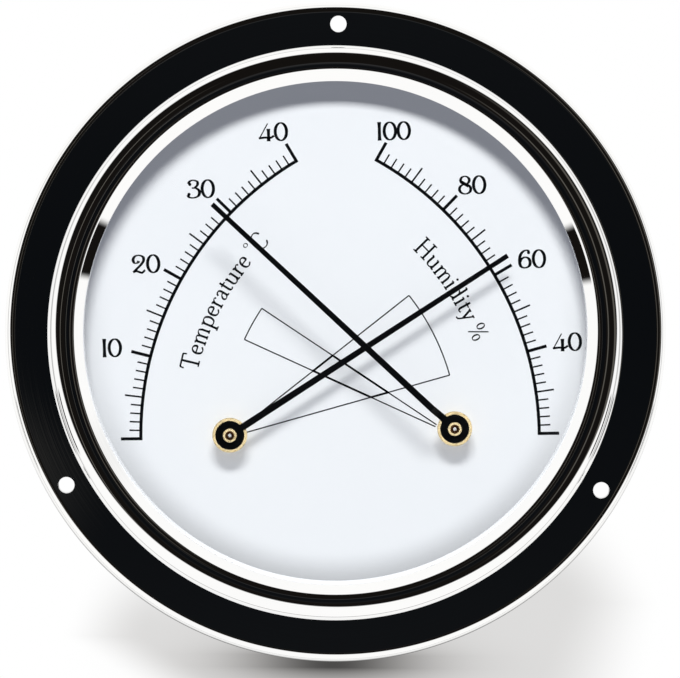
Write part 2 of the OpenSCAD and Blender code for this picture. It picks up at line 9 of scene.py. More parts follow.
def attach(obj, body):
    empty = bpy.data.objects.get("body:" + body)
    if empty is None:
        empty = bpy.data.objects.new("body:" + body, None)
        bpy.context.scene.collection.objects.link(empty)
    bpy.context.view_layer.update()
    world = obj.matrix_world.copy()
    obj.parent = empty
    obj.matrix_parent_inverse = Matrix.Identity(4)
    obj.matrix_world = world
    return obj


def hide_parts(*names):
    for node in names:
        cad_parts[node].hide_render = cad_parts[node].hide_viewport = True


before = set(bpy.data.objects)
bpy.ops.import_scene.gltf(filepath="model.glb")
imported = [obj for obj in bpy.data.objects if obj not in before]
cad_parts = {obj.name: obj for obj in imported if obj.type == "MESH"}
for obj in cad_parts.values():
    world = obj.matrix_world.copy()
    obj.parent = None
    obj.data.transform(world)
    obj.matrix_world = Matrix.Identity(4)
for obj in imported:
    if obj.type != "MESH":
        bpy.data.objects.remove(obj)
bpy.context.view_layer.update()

# A round thermo-hygrometer for a panel: polished flange and bezel, white dial, and two
# long pointers that cross over it.
#
# Sizes are in millimetres in the reader's frame: x to the right, y up and z towards the
# reader, with 0 on the flange's back face. READER turns them to the row frame in metres.

READER = Matrix(((0.001, 0, 0, 0), (0, 0, -0.001, 0), (0, 0.001, 0, 0), (0, 0, 0, 1)))

# Flange, case and bezel
FLANGE_R = 65.0
FLANGE_T = 2.5
FLANGE_ROUND = 2.0
HOLE_CIRCLE_R = 60.8
HOLE_R = 1.6
HOLE_BREAK = 0.03
HOLE_ANGLES = (90.0, 210.0, 330.0)
CASE_R = 54.0
MOUTH_R = 54.6
CASE_WALL = 1.2
CASE_DEPTH = 34.0
CASE_ROUND = 4.0
BEZEL_R = 56.6
BEZEL_RISE = 2.1
SHOULDER_R = 4.4
CREST_W = 0.3
ROLL_R = 2.0
CONE = math.radians(40.0)
OPENING_R = 49.6
GLASS_R = 51.9
GLASS_BACK = 0.6
LIP_Z = 2.55
SKIRT_DEPTH = 4.0

# Dial, hubs and pointers
DIAL_Z = -6.4
DIAL_TURN = math.radians(2.2)
THERMO_X = 23.05
HYGRO_X = -21.45
HUB_Y = -19.9
EYE_Z = DIAL_Z + 2.8
CRANK_Z = DIAL_Z + 6.4
CRANK = (3.7, 6.1)
THERMO_ANGLE = 135.4
HYGRO_ANGLE = 31.3
EYE_R = 2.85
EYE_STEPS = 72
POINTER_LEN = 65.4
POINTER_T = 0.26
POINTER_W = (1.4, 0.98, 0.96)
TIP_LEN = 4.2
COLLET_NECK_R = 1.4
COLLET_DISC_R = 3.45
COLLET_DISC_T = 0.6
COLLET_FRONT = EYE_Z + 0.6
COLLET_BACK = EYE_Z - 1.8
HOLLOW_R = 0.95
HOLLOW_DEPTH = 0.45
ARBOR_TIP_R = 0.4
ARBOR_R = 0.5
PIVOT_R = 0.35
THERMO_PIVOT = (-22.4, -19.9)
HYGRO_PIVOT = (-19.4, -17.6)

# Rear wall: screws, vents and the regulators' access holes
REAR_SCREW_CIRCLE_R = 44.0
REAR_SCREW_HOLE_R = 1.6
VENT_R = 1.2
VENTS = ((8.0, 6), (14.0, 12))
ACCESS_R = 1.9
HAIR_X = HYGRO_X - 1.3
HAIR_REGULATOR = (HAIR_X + 2.2, 28.0)

# Scales: each is printed round a middle of its own, a little lower and further out than
# the arbor. Angles are anticlockwise from the right.
THERMO_MIDDLE = (24.06, -21.31)
HYGRO_MIDDLE = (-23.40, -20.62)
ARC_R = 63.2
ARC_W = 0.64
TICK_COUNT = 41
THERMO_ZERO = 179.04
HYGRO_ZERO = -0.77
SCALE_STEP = 1.4965
INK_T = 0.02


def dial_turned(*points):
    """Points of the dial's own frame, turned with it against the flange."""
    c, s = math.cos(DIAL_TURN), math.sin(DIAL_TURN)
    return [(x * c - y * s, x * s + y * c) for x, y in points]


def in_row(mesh, turned=False):
    """Takes a mesh from the reader's frame to the row frame, turned with the dial or not."""
    turn = Matrix.Rotation(DIAL_TURN, 4, "Z") if turned else Matrix.Identity(4)
    mesh.transform(READER @ turn)
    return mesh


def piece(name, mesh, material, body, *nodes, slot=None):
    """Adds a finished piece that rides on a body and stands for the CAD nodes named."""
    mesh.name = name
    obj = bpy.data.objects.new(name, mesh)
    bpy.context.scene.collection.objects.link(obj)
    mesh.materials.clear()
    mesh.materials.append(material)
    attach(obj, body)
    if nodes:
        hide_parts(*nodes)
    return obj


# Shader maths

class Shade:
    """A node tree's socket that adds Math nodes as it is used in sums."""

    def __init__(self, tree, socket):
        self.tree = tree
        self.socket = socket

    def math(self, operation, *others):
        return self.tree.math(operation, self, *others)

    def __add__(self, other):
        return self.math("ADD", other)

    def __radd__(self, other):
        return self.math("ADD", other)

    def __sub__(self, other):
        return self.math("SUBTRACT", other)

    def __rsub__(self, other):
        return self.tree.math("SUBTRACT", other, self)

    def __mul__(self, other):
        return self.math("MULTIPLY", other)

    def __rmul__(self, other):
        return self.math("MULTIPLY", other)

    def __truediv__(self, other):
        return self.math("DIVIDE", other)

    def step(self, low, high):
        """0 below low, 1 above high and smooth in between. Both may be sockets."""
        found = self.tree.node("ShaderNodeMapRange", {"interpolation_type": "SMOOTHSTEP"},
                               self, low, high)
        return Shade(self.tree, found.outputs[0])


class Tree:
    """A material's or a world's node tree, and the one method that adds its nodes."""

    def __init__(self, owner):
        owner.use_nodes = True
        self.tree = owner.node_tree
        self.tree.nodes.clear()

    def node(self, kind, settings=None, *inputs, **named):
        made = self.tree.nodes.new(kind)
        for key, value in (settings or {}).items():
            setattr(made, key, value)
        for place, value in list(enumerate(inputs)) + list(named.items()):
            if isinstance(place, str):
                place = place.replace("_", " ")
            if value is not None:
                self.join(made.inputs[place], value)
        return made

    def join(self, socket, value):
        if isinstance(value, Shade):
            value = value.socket
        if isinstance(value, bpy.types.NodeSocket):
            self.tree.links.new(value, socket)
        else:
            socket.default_value = value

    def math(self, operation, *values):
        found = self.node("ShaderNodeMath", {"operation": operation}, *values)
        return self.shade(found.outputs[0])

    def shade(self, socket):
        return Shade(self, socket)

    def vector(self, x, y, z):
        return self.node("ShaderNodeCombineXYZ", None, x, y, z).outputs[0]

    def tinted(self, level, tint):
        """A grey level turned into a colour."""
        return self.vector(*[level * part for part in tint])

    def plus(self, one, two):
        return self.node("ShaderNodeVectorMath", {"operation": "ADD"}, one, two).outputs[0]

    def places(self):
        """Object coordinates in millimetres, as x, depth and height."""
        coords = self.node("ShaderNodeTexCoord").outputs["Object"]
        apart = self.node("ShaderNodeSeparateXYZ", None, coords)
        return coords, [self.shade(apart.outputs[i]) * 1000.0 for i in range(3)]

    def noise(self, vector, scale, detail=2.0, rough=0.5):
        found = self.node("ShaderNodeTexNoise", None, Vector=vector, Scale=scale,
                          Detail=detail, Roughness=rough)
        return self.shade(found.outputs["Fac"])

    def blend(self, factor, one, two):
        found = self.node("ShaderNodeMix", {"data_type": "RGBA"})
        self.join(found.inputs[0], factor)
        self.join(found.inputs[6], one)
        self.join(found.inputs[7], two)
        return found.outputs[2]

    def bump(self, height, distance, strength=1.0):
        found = self.node("ShaderNodeBump", None, Strength=strength, Distance=distance,
                          Height=height)
        return found.outputs["Normal"]

    def out(self, shader, kind="ShaderNodeOutputMaterial"):
        found = self.tree.nodes.new(kind)
        self.tree.links.new(shader.outputs[0], found.inputs[0])


def finish(name, colour, rough, metal=0.0, relief=None, **constants):
    """A principled material. colour, rough and relief may be functions of (tree, places)."""
    material = bpy.data.materials.new(name)
    tree = Tree(material)
    coords, places = tree.places()
    base = colour(tree, coords, places) if callable(colour) else (*colour, 1.0)
    rough = rough(tree, coords, places) if callable(rough) else rough
    shader = tree.node("ShaderNodeBsdfPrincipled")
    tree.join(shader.inputs["Base Color"], base)
    tree.join(shader.inputs["Roughness"], rough)
    shader.inputs["Metallic"].default_value = metal
    for key, value in constants.items():
        shader.inputs[key.replace("_", " ")].default_value = value
    if relief:
        tree.join(shader.inputs["Normal"], relief(tree, coords, places))
    tree.out(shader)
    return material


def radius_of(places):
    """Distance from the instrument's axis."""
    return (places[0] * places[0] + places[2] * places[2]).math("SQRT")


def turned_lines(tree, places, per_mm, detail=3.0):
    """Noise that runs in fine rings round the axis, as turning and polishing leave it."""
    radius = radius_of(places)
    return tree.noise(tree.vector(radius, places[1], 0.0), per_mm, detail, 0.6)


def chrome_rough(tree, coords, places):
    return tree.noise(coords, 60.0, 3.0).step(0.35, 0.8) * 0.02 + 0.012


def chrome_tint(tree, coords, places):
    return tree.blend(tree.noise(coords, 25.0, 2.0).step(0.3, 0.7),
                      (0.955, 0.955, 0.95, 1.0), (0.935, 0.937, 0.94, 1.0))


def chrome_relief(tree, coords, places):
    return tree.bump(turned_lines(tree, places, 2.2), 0.000003, 0.5)


def brass_tint(tree, coords, places):
    return tree.blend(tree.noise(coords, 900.0, 3.0).step(0.3, 0.75),
                      (0.93, 0.76, 0.45, 1.0), (0.84, 0.65, 0.35, 1.0))


def hub_brass_and_shade(tree, coords, places):
    """Brass with painted shade that darkens the recess of each hub's neck."""
    painted_hollow_shade = 0.0
    for x, y in dial_turned((THERMO_X, HUB_Y), (HYGRO_X, HUB_Y)):
        across, up = places[0] - x, places[2] - y
        away = (across * across + up * up).math("SQRT")
        # Painted shade: dark brown towards each hub's axis, in its neck's recess
        painted_hollow_shade = 1.0 - away.step(0.82, 0.96) + painted_hollow_shade
    return tree.blend(painted_hollow_shade, brass_tint(tree, coords, places), (0.16, 0.075, 0.03, 1.0))


def brass_rough(tree, coords, places):
    return tree.noise(coords, 1500.0, 3.0) * 0.14 + 0.16


def fine_relief(scale, depth):
    def relief(tree, coords, places):
        return tree.bump(tree.noise(coords, scale, 3.0), depth, 0.6)
    return relief


def dial_paint_and_shade(tree, coords, places):
    """White paint, with painted shade that greys it a little towards the wall in the dial's lower
    half.
    """
    plain = tree.blend(tree.noise(coords, 35.0, 3.0).step(0.3, 0.7),
                       (0.824, 0.842, 0.860, 1.0), (0.836, 0.853, 0.868, 1.0))
    radius = radius_of(places)
    down = places[2] * -1.0 / radius.math("MAXIMUM", 1.0)
    # Painted shade near the wall, darkest at the bottom of the dial
    painted_wall_shade = radius.step(43.5, 50.5) * down.step(-0.35, 0.05) * (down.step(0.0, 1.0) * 0.26 + 0.14)
    return tree.blend(painted_wall_shade, plain, (0.0, 0.0, 0.0, 1.0))


def dial_rough(tree, coords, places):
    return tree.noise(coords, 400.0, 2.0) * 0.12 + 0.42


def hair_tint(tree, coords, places):
    strand = tree.vector(places[0] * 6.0, places[1] * 6.0, places[2] * 0.05)
    return tree.blend(tree.noise(strand, 1.0, 3.0),
                      (0.50, 0.36, 0.18, 1.0), (0.80, 0.66, 0.42, 1.0))


def milled_relief(tree, coords, places):
    lines = tree.vector(places[0] * 9.0, places[1] * 0.4, places[2] * 0.4)
    return tree.bump(tree.noise(lines, 1.0, 2.0), 0.000008, 0.5)


def pale(tint, change):
    def colour(tree, coords, places):
        other = tuple(min(1.0, v * change) for v in tint)
        return tree.blend(tree.noise(coords, 180.0, 3.0).step(0.3, 0.7), (*tint, 1.0),
                          (*other, 1.0))
    return colour


def rough_range(low, high, scale):
    def rough(tree, coords, places):
        return tree.noise(coords, scale, 3.0) * (high - low) + low
    return rough


chrome = finish("polished_chrome", chrome_tint, chrome_rough, 1.0, chrome_relief)
case_chrome = finish("case_chrome", pale((0.52, 0.53, 0.55), 1.03), rough_range(0.10, 0.19, 90.0),
                     1.0, chrome_relief)
# The hubs' brass has painted shade in each neck's recess
hub_brass = finish("turned_brass", hub_brass_and_shade, brass_rough, 1.0, fine_relief(3000.0, 0.000004))
plate_brass = finish("movement_brass", brass_tint, rough_range(0.24, 0.42, 300.0), 1.0,
                     milled_relief)
steel = finish("bright_steel", pale((0.60, 0.60, 0.61), 0.9), rough_range(0.18, 0.34, 500.0),
               1.0, fine_relief(2500.0, 0.000004))
strip = finish("bimetal_strip", pale((0.62, 0.54, 0.43), 0.86), rough_range(0.25, 0.4, 400.0),
               1.0, fine_relief(1500.0, 0.000005))
rubber = finish("gasket_rubber", pale((0.020, 0.020, 0.022), 1.4),
                rough_range(0.6, 0.8, 700.0), 0.0, fine_relief(1800.0, 0.00001))
wall_white = finish("spacer_white", pale((0.86, 0.87, 0.885), 0.985),
                    rough_range(0.18, 0.30, 120.0), 0.0, fine_relief(500.0, 0.000004))
# The dial's white paint carries painted shade near the wall in its lower half
dial_white = finish("dial_white", dial_paint_and_shade, dial_rough, 0.0, fine_relief(2600.0, 0.0000025),
                    Specular_IOR_Level=0.3)
ink = finish("dial_ink", pale((0.002, 0.0024, 0.003), 1.5), rough_range(0.5, 0.65, 900.0), 0.0,
             fine_relief(2600.0, 0.000002), Specular_IOR_Level=0.12)
paint_black = finish("pointer_black", pale((0.0018, 0.0020, 0.0024), 1.5),
                     rough_range(0.30, 0.40, 500.0), 0.0, fine_relief(1800.0, 0.000003),
                     Specular_IOR_Level=0.12)
hair = finish("hair_fibre", hair_tint, 0.45, 0.0, fine_relief(4000.0, 0.00002))


def clear_glass():
    """Flat polished glass that lets light straight through, with Fresnel reflections."""
    material = bpy.data.materials.new("clear_glass")
    tree = Tree(material)
    coords, places = tree.places()
    clear = tree.node("ShaderNodeBsdfTransparent")
    clear.inputs["Color"].default_value = (0.988, 0.994, 0.992, 1.0)
    gloss = tree.node("ShaderNodeBsdfGlossy")
    gloss.inputs["Color"].default_value = (1.0, 1.0, 1.0, 1.0)
    tree.join(gloss.inputs["Roughness"], tree.noise(coords, 50.0).step(0.3, 0.8) * 0.01)
    fresnel = tree.node("ShaderNodeFresnel", None, IOR=1.45)
    both = tree.node("ShaderNodeMixShader", None, fresnel.outputs[0], clear.outputs[0],
                     gloss.outputs[0])
    tree.out(both)
    return material


glass_clear = clear_glass()


# Turned pieces

def line(*points):
    """A straight run of a section through points (radius, z), outside on its right."""
    run = []
    for (r0, z0), (r1, z1) in zip(points, points[1:]):
        length = math.hypot(r1 - r0, z1 - z0)
        normal = ((z1 - z0) / length, -(r1 - r0) / length)
        run.append([(r0, z0, *normal), (r1, z1, *normal)])
    return run


def arc(centre, radius, start, end, steps=12):
    """A rounded run: convex where the angle rises, hollow where it falls. Degrees."""
    run = []
    side = 1.0 if end > start else -1.0
    for i in range(steps + 1):
        a = math.radians(start + (end - start) * i / steps)
        run.append((centre[0] + radius * math.cos(a), centre[1] + radius * math.sin(a),
                    side * math.cos(a), side * math.sin(a)))
    return [run]


def lathe(runs, segments=512, centre=(0.0, 0.0)):
    """Turns a closed section, run by run, round an axis at centre, with exact normals."""
    corners = []
    for run in runs:
        for point in run:
            if not corners or math.dist(corners[-1], point[:2]) > 1e-6:
                corners.append(point[:2])
    if math.dist(corners[0], corners[-1]) < 1e-6:
        corners.pop()
    index = {}
    verts = []
    rings = []
    turn = [2 * math.pi * j / segments for j in range(segments)]
    for r, z in corners:
        first = len(verts)
        if r < 1e-9:
            verts.append((centre[0], centre[1], z))
            rings.append([first] * segments)
        else:
            verts += [(centre[0] + r * math.cos(t), centre[1] + r * math.sin(t), z)
                      for t in turn]
            rings.append([first + j for j in range(segments)])

    def ring_at(point):
        for i, corner in enumerate(corners):
            if math.dist(corner, point[:2]) < 1e-6:
                return rings[i]
        raise ValueError("a point is off the section")

    faces = []
    normals = []
    for run in runs:
        found = [index.setdefault(p[:2], ring_at(p)) for p in run]
        for (p, a), (q, b) in zip(zip(run, found), zip(run[1:], found[1:])):
            for j in range(segments):
                k = (j + 1) % segments
                loop = [(a[j], p, j), (a[k], p, k), (b[k], q, k), (b[j], q, j)]
                if a[j] == a[k]:
                    loop = [loop[0], loop[2], loop[3]]
                elif b[j] == b[k]:
                    loop = loop[:3]
                faces.append([v for v, _, _ in loop])
                normals += [(s[2] * math.cos(turn[m]), s[2] * math.sin(turn[m]), s[3])
                            for _, s, m in loop]
    mesh = bpy.data.meshes.new("turned")
    mesh.from_pydata(verts, [], faces)
    keep_normals(mesh, normals)
    return mesh


def keep_normals(mesh, normals):
    mesh.polygons.foreach_set("use_smooth", [True] * len(mesh.polygons))
    mesh.normals_split_custom_set(normals)
    mesh.update()


def place(mesh, turned=False):
    """Puts a mesh in the row frame and carries its own normals over."""
    held = [tuple(loop.vector) for loop in mesh.corner_normals]
    in_row(mesh, turned)
    turn = Matrix.Rotation(DIAL_TURN if turned else 0.0, 3, "Z")
    spin = Matrix(((1, 0, 0), (0, 0, -1), (0, 1, 0))) @ turn
    keep_normals(mesh, [tuple(spin @ Vector(n)) for n in held])
    return mesh


def drill(mesh, cutters, rule):
    """Cuts holes in a turned mesh and gives each corner its true normal back."""
    body = bpy.data.objects.new("being_drilled", mesh)
    tool = bpy.data.objects.new("drills", cutters)
    for obj in (body, tool):
        bpy.context.scene.collection.objects.link(obj)
    cut = body.modifiers.new("cut", "BOOLEAN")
    cut.operation = "DIFFERENCE"
    cut.solver = "EXACT"
    cut.object = tool
    graph = bpy.context.evaluated_depsgraph_get()
    done = bpy.data.meshes.new_from_object(body.evaluated_get(graph))
    for obj in (body, tool):
        bpy.data.objects.remove(obj)
    normals = []
    for face in done.polygons:
        for v in face.vertices:
            normals.append(rule(done.vertices[v].co, face.normal, face.center))
    keep_normals(done, normals)
    return done


def mesh_of(made):
    mesh = bpy.data.meshes.new("made")
    made.to_mesh(mesh)
    made.free()
    return mesh


def bar_mesh(sections, places, segments=96):
    """Round cutters or bars at several places. sections is (radius, z) from back to front."""
    made = bmesh.new()
    for x, y in places:
        rings = []
        for r, z in sections:
            rings.append([made.verts.new((x + r * math.cos(2 * math.pi * j / segments),
                                          y + r * math.sin(2 * math.pi * j / segments), z))
                          for j in range(segments)])
        for low, high in zip(rings, rings[1:]):
            for j in range(segments):
                k = (j + 1) % segments
                made.faces.new((low[j], low[k], high[k], high[j]))
        made.faces.new(list(reversed(rings[0])))
        made.faces.new(rings[-1])
    return mesh_of(made)


def around(radius, angles):
    return [(radius * math.cos(math.radians(a)), radius * math.sin(math.radians(a)))
            for a in angles]


# Polished metal

def flange():
    """The flange ring, with a rounded front edge and three screw holes."""
    edge_r = FLANGE_R - FLANGE_ROUND
    edge_z = FLANGE_T - FLANGE_ROUND
    runs = line((MOUTH_R, 0.0), (FLANGE_R, 0.0), (FLANGE_R, edge_z))
    runs += arc((edge_r, edge_z), FLANGE_ROUND, 0, 90, 20)
    runs += line((edge_r, FLANGE_T), (MOUTH_R, FLANGE_T), (MOUTH_R, 0.0))
    mesh = lathe(runs, 720)
    holes = around(HOLE_CIRCLE_R, HOLE_ANGLES)
    over = 1.0
    bores = bar_mesh([(HOLE_R, -over), (HOLE_R, FLANGE_T - HOLE_BREAK),
                      (HOLE_R + HOLE_BREAK + over, FLANGE_T + over)], holes)

    def rule(point, normal, centre):
        for x, y in holes:
            off = Vector((x - point.x, y - point.y, 0.0))
            middle = math.hypot(centre.x - x, centre.y - y)
            if middle < HOLE_R + HOLE_BREAK and abs(normal.z) < 0.9:
                tilt = 0.7071 if normal.z > 0.3 else 0.0
                return tuple(off.normalized() * math.sqrt(1 - tilt * tilt)
                             + Vector((0.0, 0.0, tilt)))
        radius = math.hypot(point.x, point.y)
        out = Vector((point.x / radius, point.y / radius, 0.0))
        if abs(normal.z) > 0.9999:
            return (0.0, 0.0, math.copysign(1.0, normal.z))
        if radius > edge_r - 1e-4 and point.z > edge_z - 1e-4 and centre.z > edge_z:
            share = (out * (radius - edge_r) + Vector((0.0, 0.0, point.z - edge_z)))
            return tuple(share.normalized())
        return tuple(out * math.copysign(1.0, normal.dot(out)))

    return drill(mesh, bores, rule)


def bezel():
    """The bezel ring: shoulder, flat crest, inner roll, cone, lip and skirt."""
    top = FLANGE_T + BEZEL_RISE
    low = top - SHOULDER_R
    crest_out = BEZEL_R - math.sqrt(SHOULDER_R ** 2 - (SHOULDER_R - BEZEL_RISE) ** 2)
    crest_in = crest_out - CREST_W
    foot = math.degrees(math.asin((FLANGE_T - low) / SHOULDER_R))
    roll_end = (crest_in - ROLL_R * math.sin(CONE), top - ROLL_R * (1 - math.cos(CONE)))
    cone_end = (OPENING_R, roll_end[1] - (roll_end[0] - OPENING_R) * math.tan(CONE))
    skirt_in = GLASS_R + 0.1
    skirt_out = CASE_R - CASE_WALL - 0.05
    joint = 0.12
    runs = line((OPENING_R, LIP_Z), (skirt_in, LIP_Z), (skirt_in, FLANGE_T - SKIRT_DEPTH),
                (skirt_out, FLANGE_T - SKIRT_DEPTH), (skirt_out, FLANGE_T),
                (BEZEL_R - joint, FLANGE_T))
    runs += line((BEZEL_R - joint, FLANGE_T), (BEZEL_R, FLANGE_T + joint * 0.5))
    shoulder = arc((crest_out, low), SHOULDER_R, foot, 90, 40)
    shoulder[0][0] = (BEZEL_R, FLANGE_T + joint * 0.5, *shoulder[0][0][2:])
    runs += shoulder
    runs += line((crest_out, top), (crest_in, top))
    runs += arc((crest_in, top - ROLL_R), ROLL_R, 90, 90 + math.degrees(CONE), 24)
    runs += line(roll_end, cone_end, (OPENING_R, LIP_Z))
    return lathe(runs, 720)


def case():
    """The deep cup behind the panel, with vents, access and screw holes in its rear wall."""
    inner = CASE_R - CASE_WALL
    floor = -CASE_DEPTH
    inner_round = CASE_ROUND - CASE_WALL
    runs = line((0.0, floor), (CASE_R - CASE_ROUND, floor))
    runs += arc((CASE_R - CASE_ROUND, floor + CASE_ROUND), CASE_ROUND, -90, 0, 20)
    runs += line((CASE_R, floor + CASE_ROUND), (CASE_R, 0.0), (MOUTH_R, 0.0),
                 (MOUTH_R, FLANGE_T), (inner, FLANGE_T), (inner, floor + CASE_ROUND))
    runs += arc((inner - inner_round, floor + CASE_ROUND), inner_round, 0, -90, 12)
    runs += line((inner - inner_round, floor + CASE_WALL), (0.0, floor + CASE_WALL))
    mesh = lathe(runs)
    vents = []
    for radius, count in VENTS:
        vents += around(radius, [360.0 * i / count for i in range(count)])
    drills = bmesh.new()
    for radius, places in ((REAR_SCREW_HOLE_R, around(REAR_SCREW_CIRCLE_R, HOLE_ANGLES)),
                           (ACCESS_R, [(THERMO_X, HUB_Y), HAIR_REGULATOR]), (VENT_R, vents)):
        section = [(radius + 1.2, floor - 1.0), (radius + 0.1, floor + 0.1),
                   (radius, floor + 0.2), (radius, floor + CASE_WALL + 1.0)]
        some = bar_mesh(section, dial_turned(*places), 48)
        drills.from_mesh(some)
        bpy.data.meshes.remove(some)

    def rule(point, normal, centre):
        radius = math.hypot(point.x, point.y)
        out = Vector((point.x, point.y, 0.0)) / max(radius, 1e-9)
        if abs(normal.z) > 0.9999:
            return (0.0, 0.0, math.copysign(1.0, normal.z))
        if radius > CASE_R - CASE_ROUND - 1e-4 and centre.z < floor + CASE_ROUND:
            share = out * (radius - CASE_R + CASE_ROUND)
            share += Vector((0.0, 0.0, point.z - floor - CASE_ROUND))
            inward = normal.dot(share) < 0
            return tuple(-share.normalized() if inward else share.normalized())
        if radius > CASE_R - CASE_ROUND - 1e-4:
            return tuple(out * math.copysign(1.0, normal.dot(out)))
        return tuple(normal)

    return drill(mesh, mesh_of(drills), rule)


flange_piece = piece("flange_ring_polished", place(flange()), chrome, "case", "flange_ring",
                     slot="polished_chrome")
bezel_piece = piece("bezel_ring_polished", place(bezel()), chrome, "case", "bezel_ring",
                    slot="polished_chrome")
case_piece = piece("case_shell_polished", place(case()), case_chrome, "case", "case_shell",
                   slot="polished_chrome")


# Spacer, hubs and arbors

def tube(outer, inner, low, high, soft=0.08):
    """A plain ring between two heights with slightly broken edges."""
    runs = line((inner + soft, low), (outer - soft, low), (outer, low + soft),
                (outer, high - soft), (outer - soft, high), (inner + soft, high),
                (inner, high - soft), (inner, low + soft), (inner + soft, low))
    return place(lathe(runs))


# The wall's lower part throws the soft shadow that lies on the dial at the top
WALL_SPLIT = DIAL_Z + 3.2

wall_low = piece("spacer_ring_lower", tube(GLASS_R, OPENING_R, DIAL_Z, WALL_SPLIT), wall_white,
                 "case", "spacer_ring", slot="spacer_white")
wall_high = piece("spacer_ring_upper", tube(GLASS_R, OPENING_R, WALL_SPLIT, GLASS_BACK),
                  wall_white, "case", "spacer_ring", slot="spacer_white")


def collet(x):
    """A turned brass hub: a disc behind the pointer's eye and a dished neck before it."""
    front = COLLET_FRONT
    disc_front = EYE_Z - POINTER_T / 2
    disc_back = disc_front - COLLET_DISC_T
    soft = 0.14
    rim = COLLET_DISC_R
    runs = line((ARBOR_TIP_R, COLLET_BACK), (COLLET_NECK_R, COLLET_BACK),
                (COLLET_NECK_R, disc_back), (rim - soft, disc_back))
    runs += arc((rim - soft, disc_back + soft), soft, -90, 0, 6)
    runs += line((rim, disc_back + soft), (rim, disc_front - soft))
    runs += arc((rim - soft, disc_front - soft), soft, 0, 90, 6)
    runs += line((rim - soft, disc_front), (COLLET_NECK_R, disc_front),
                 (COLLET_NECK_R, front - soft))
    runs += arc((COLLET_NECK_R - soft, front - soft), soft, 0, 90, 6)
    runs += line((COLLET_NECK_R - soft, front), (HOLLOW_R, front),
                 (ARBOR_TIP_R, front - HOLLOW_DEPTH), (ARBOR_TIP_R, COLLET_BACK))
    return place(lathe(runs, 128, (x, HUB_Y)), turned=True)


def arbor(x, pivot):
    """A steel arbor: rear pivot, shaft, and a tip with a domed end inside the collet."""
    tip_z = COLLET_FRONT - 0.1
    dome = 0.12
    end_z, shoulder_z = pivot
    runs = line((0.0, end_z), (PIVOT_R, end_z), (PIVOT_R, shoulder_z), (ARBOR_R, shoulder_z),
                (ARBOR_R, COLLET_BACK), (ARBOR_TIP_R, COLLET_BACK), (ARBOR_TIP_R, tip_z - dome))
    runs += arc((ARBOR_TIP_R - dome, tip_z - dome), dome, 0, 90, 6)
    runs += line((ARBOR_TIP_R - dome, tip_z), (0.0, tip_z))
    return place(lathe(runs, 96, (x, HUB_Y)), turned=True)


hubs = [
    piece("thermo_collet_turned", collet(THERMO_X), hub_brass, "thermometer", "thermo_collet",
          slot="turned_brass"),
    piece("hygro_collet_turned", collet(HYGRO_X), hub_brass, "hygrometer", "hygro_collet",
          slot="turned_brass"),
    piece("thermo_arbor_turned", arbor(THERMO_X, THERMO_PIVOT), steel, "thermometer",
          "thermo_arbor", slot="bright_steel"),
    piece("hygro_arbor_turned", arbor(HYGRO_X, HYGRO_PIVOT), steel, "hygrometer",
          "hygro_arbor", slot="bright_steel")]


# Pointers

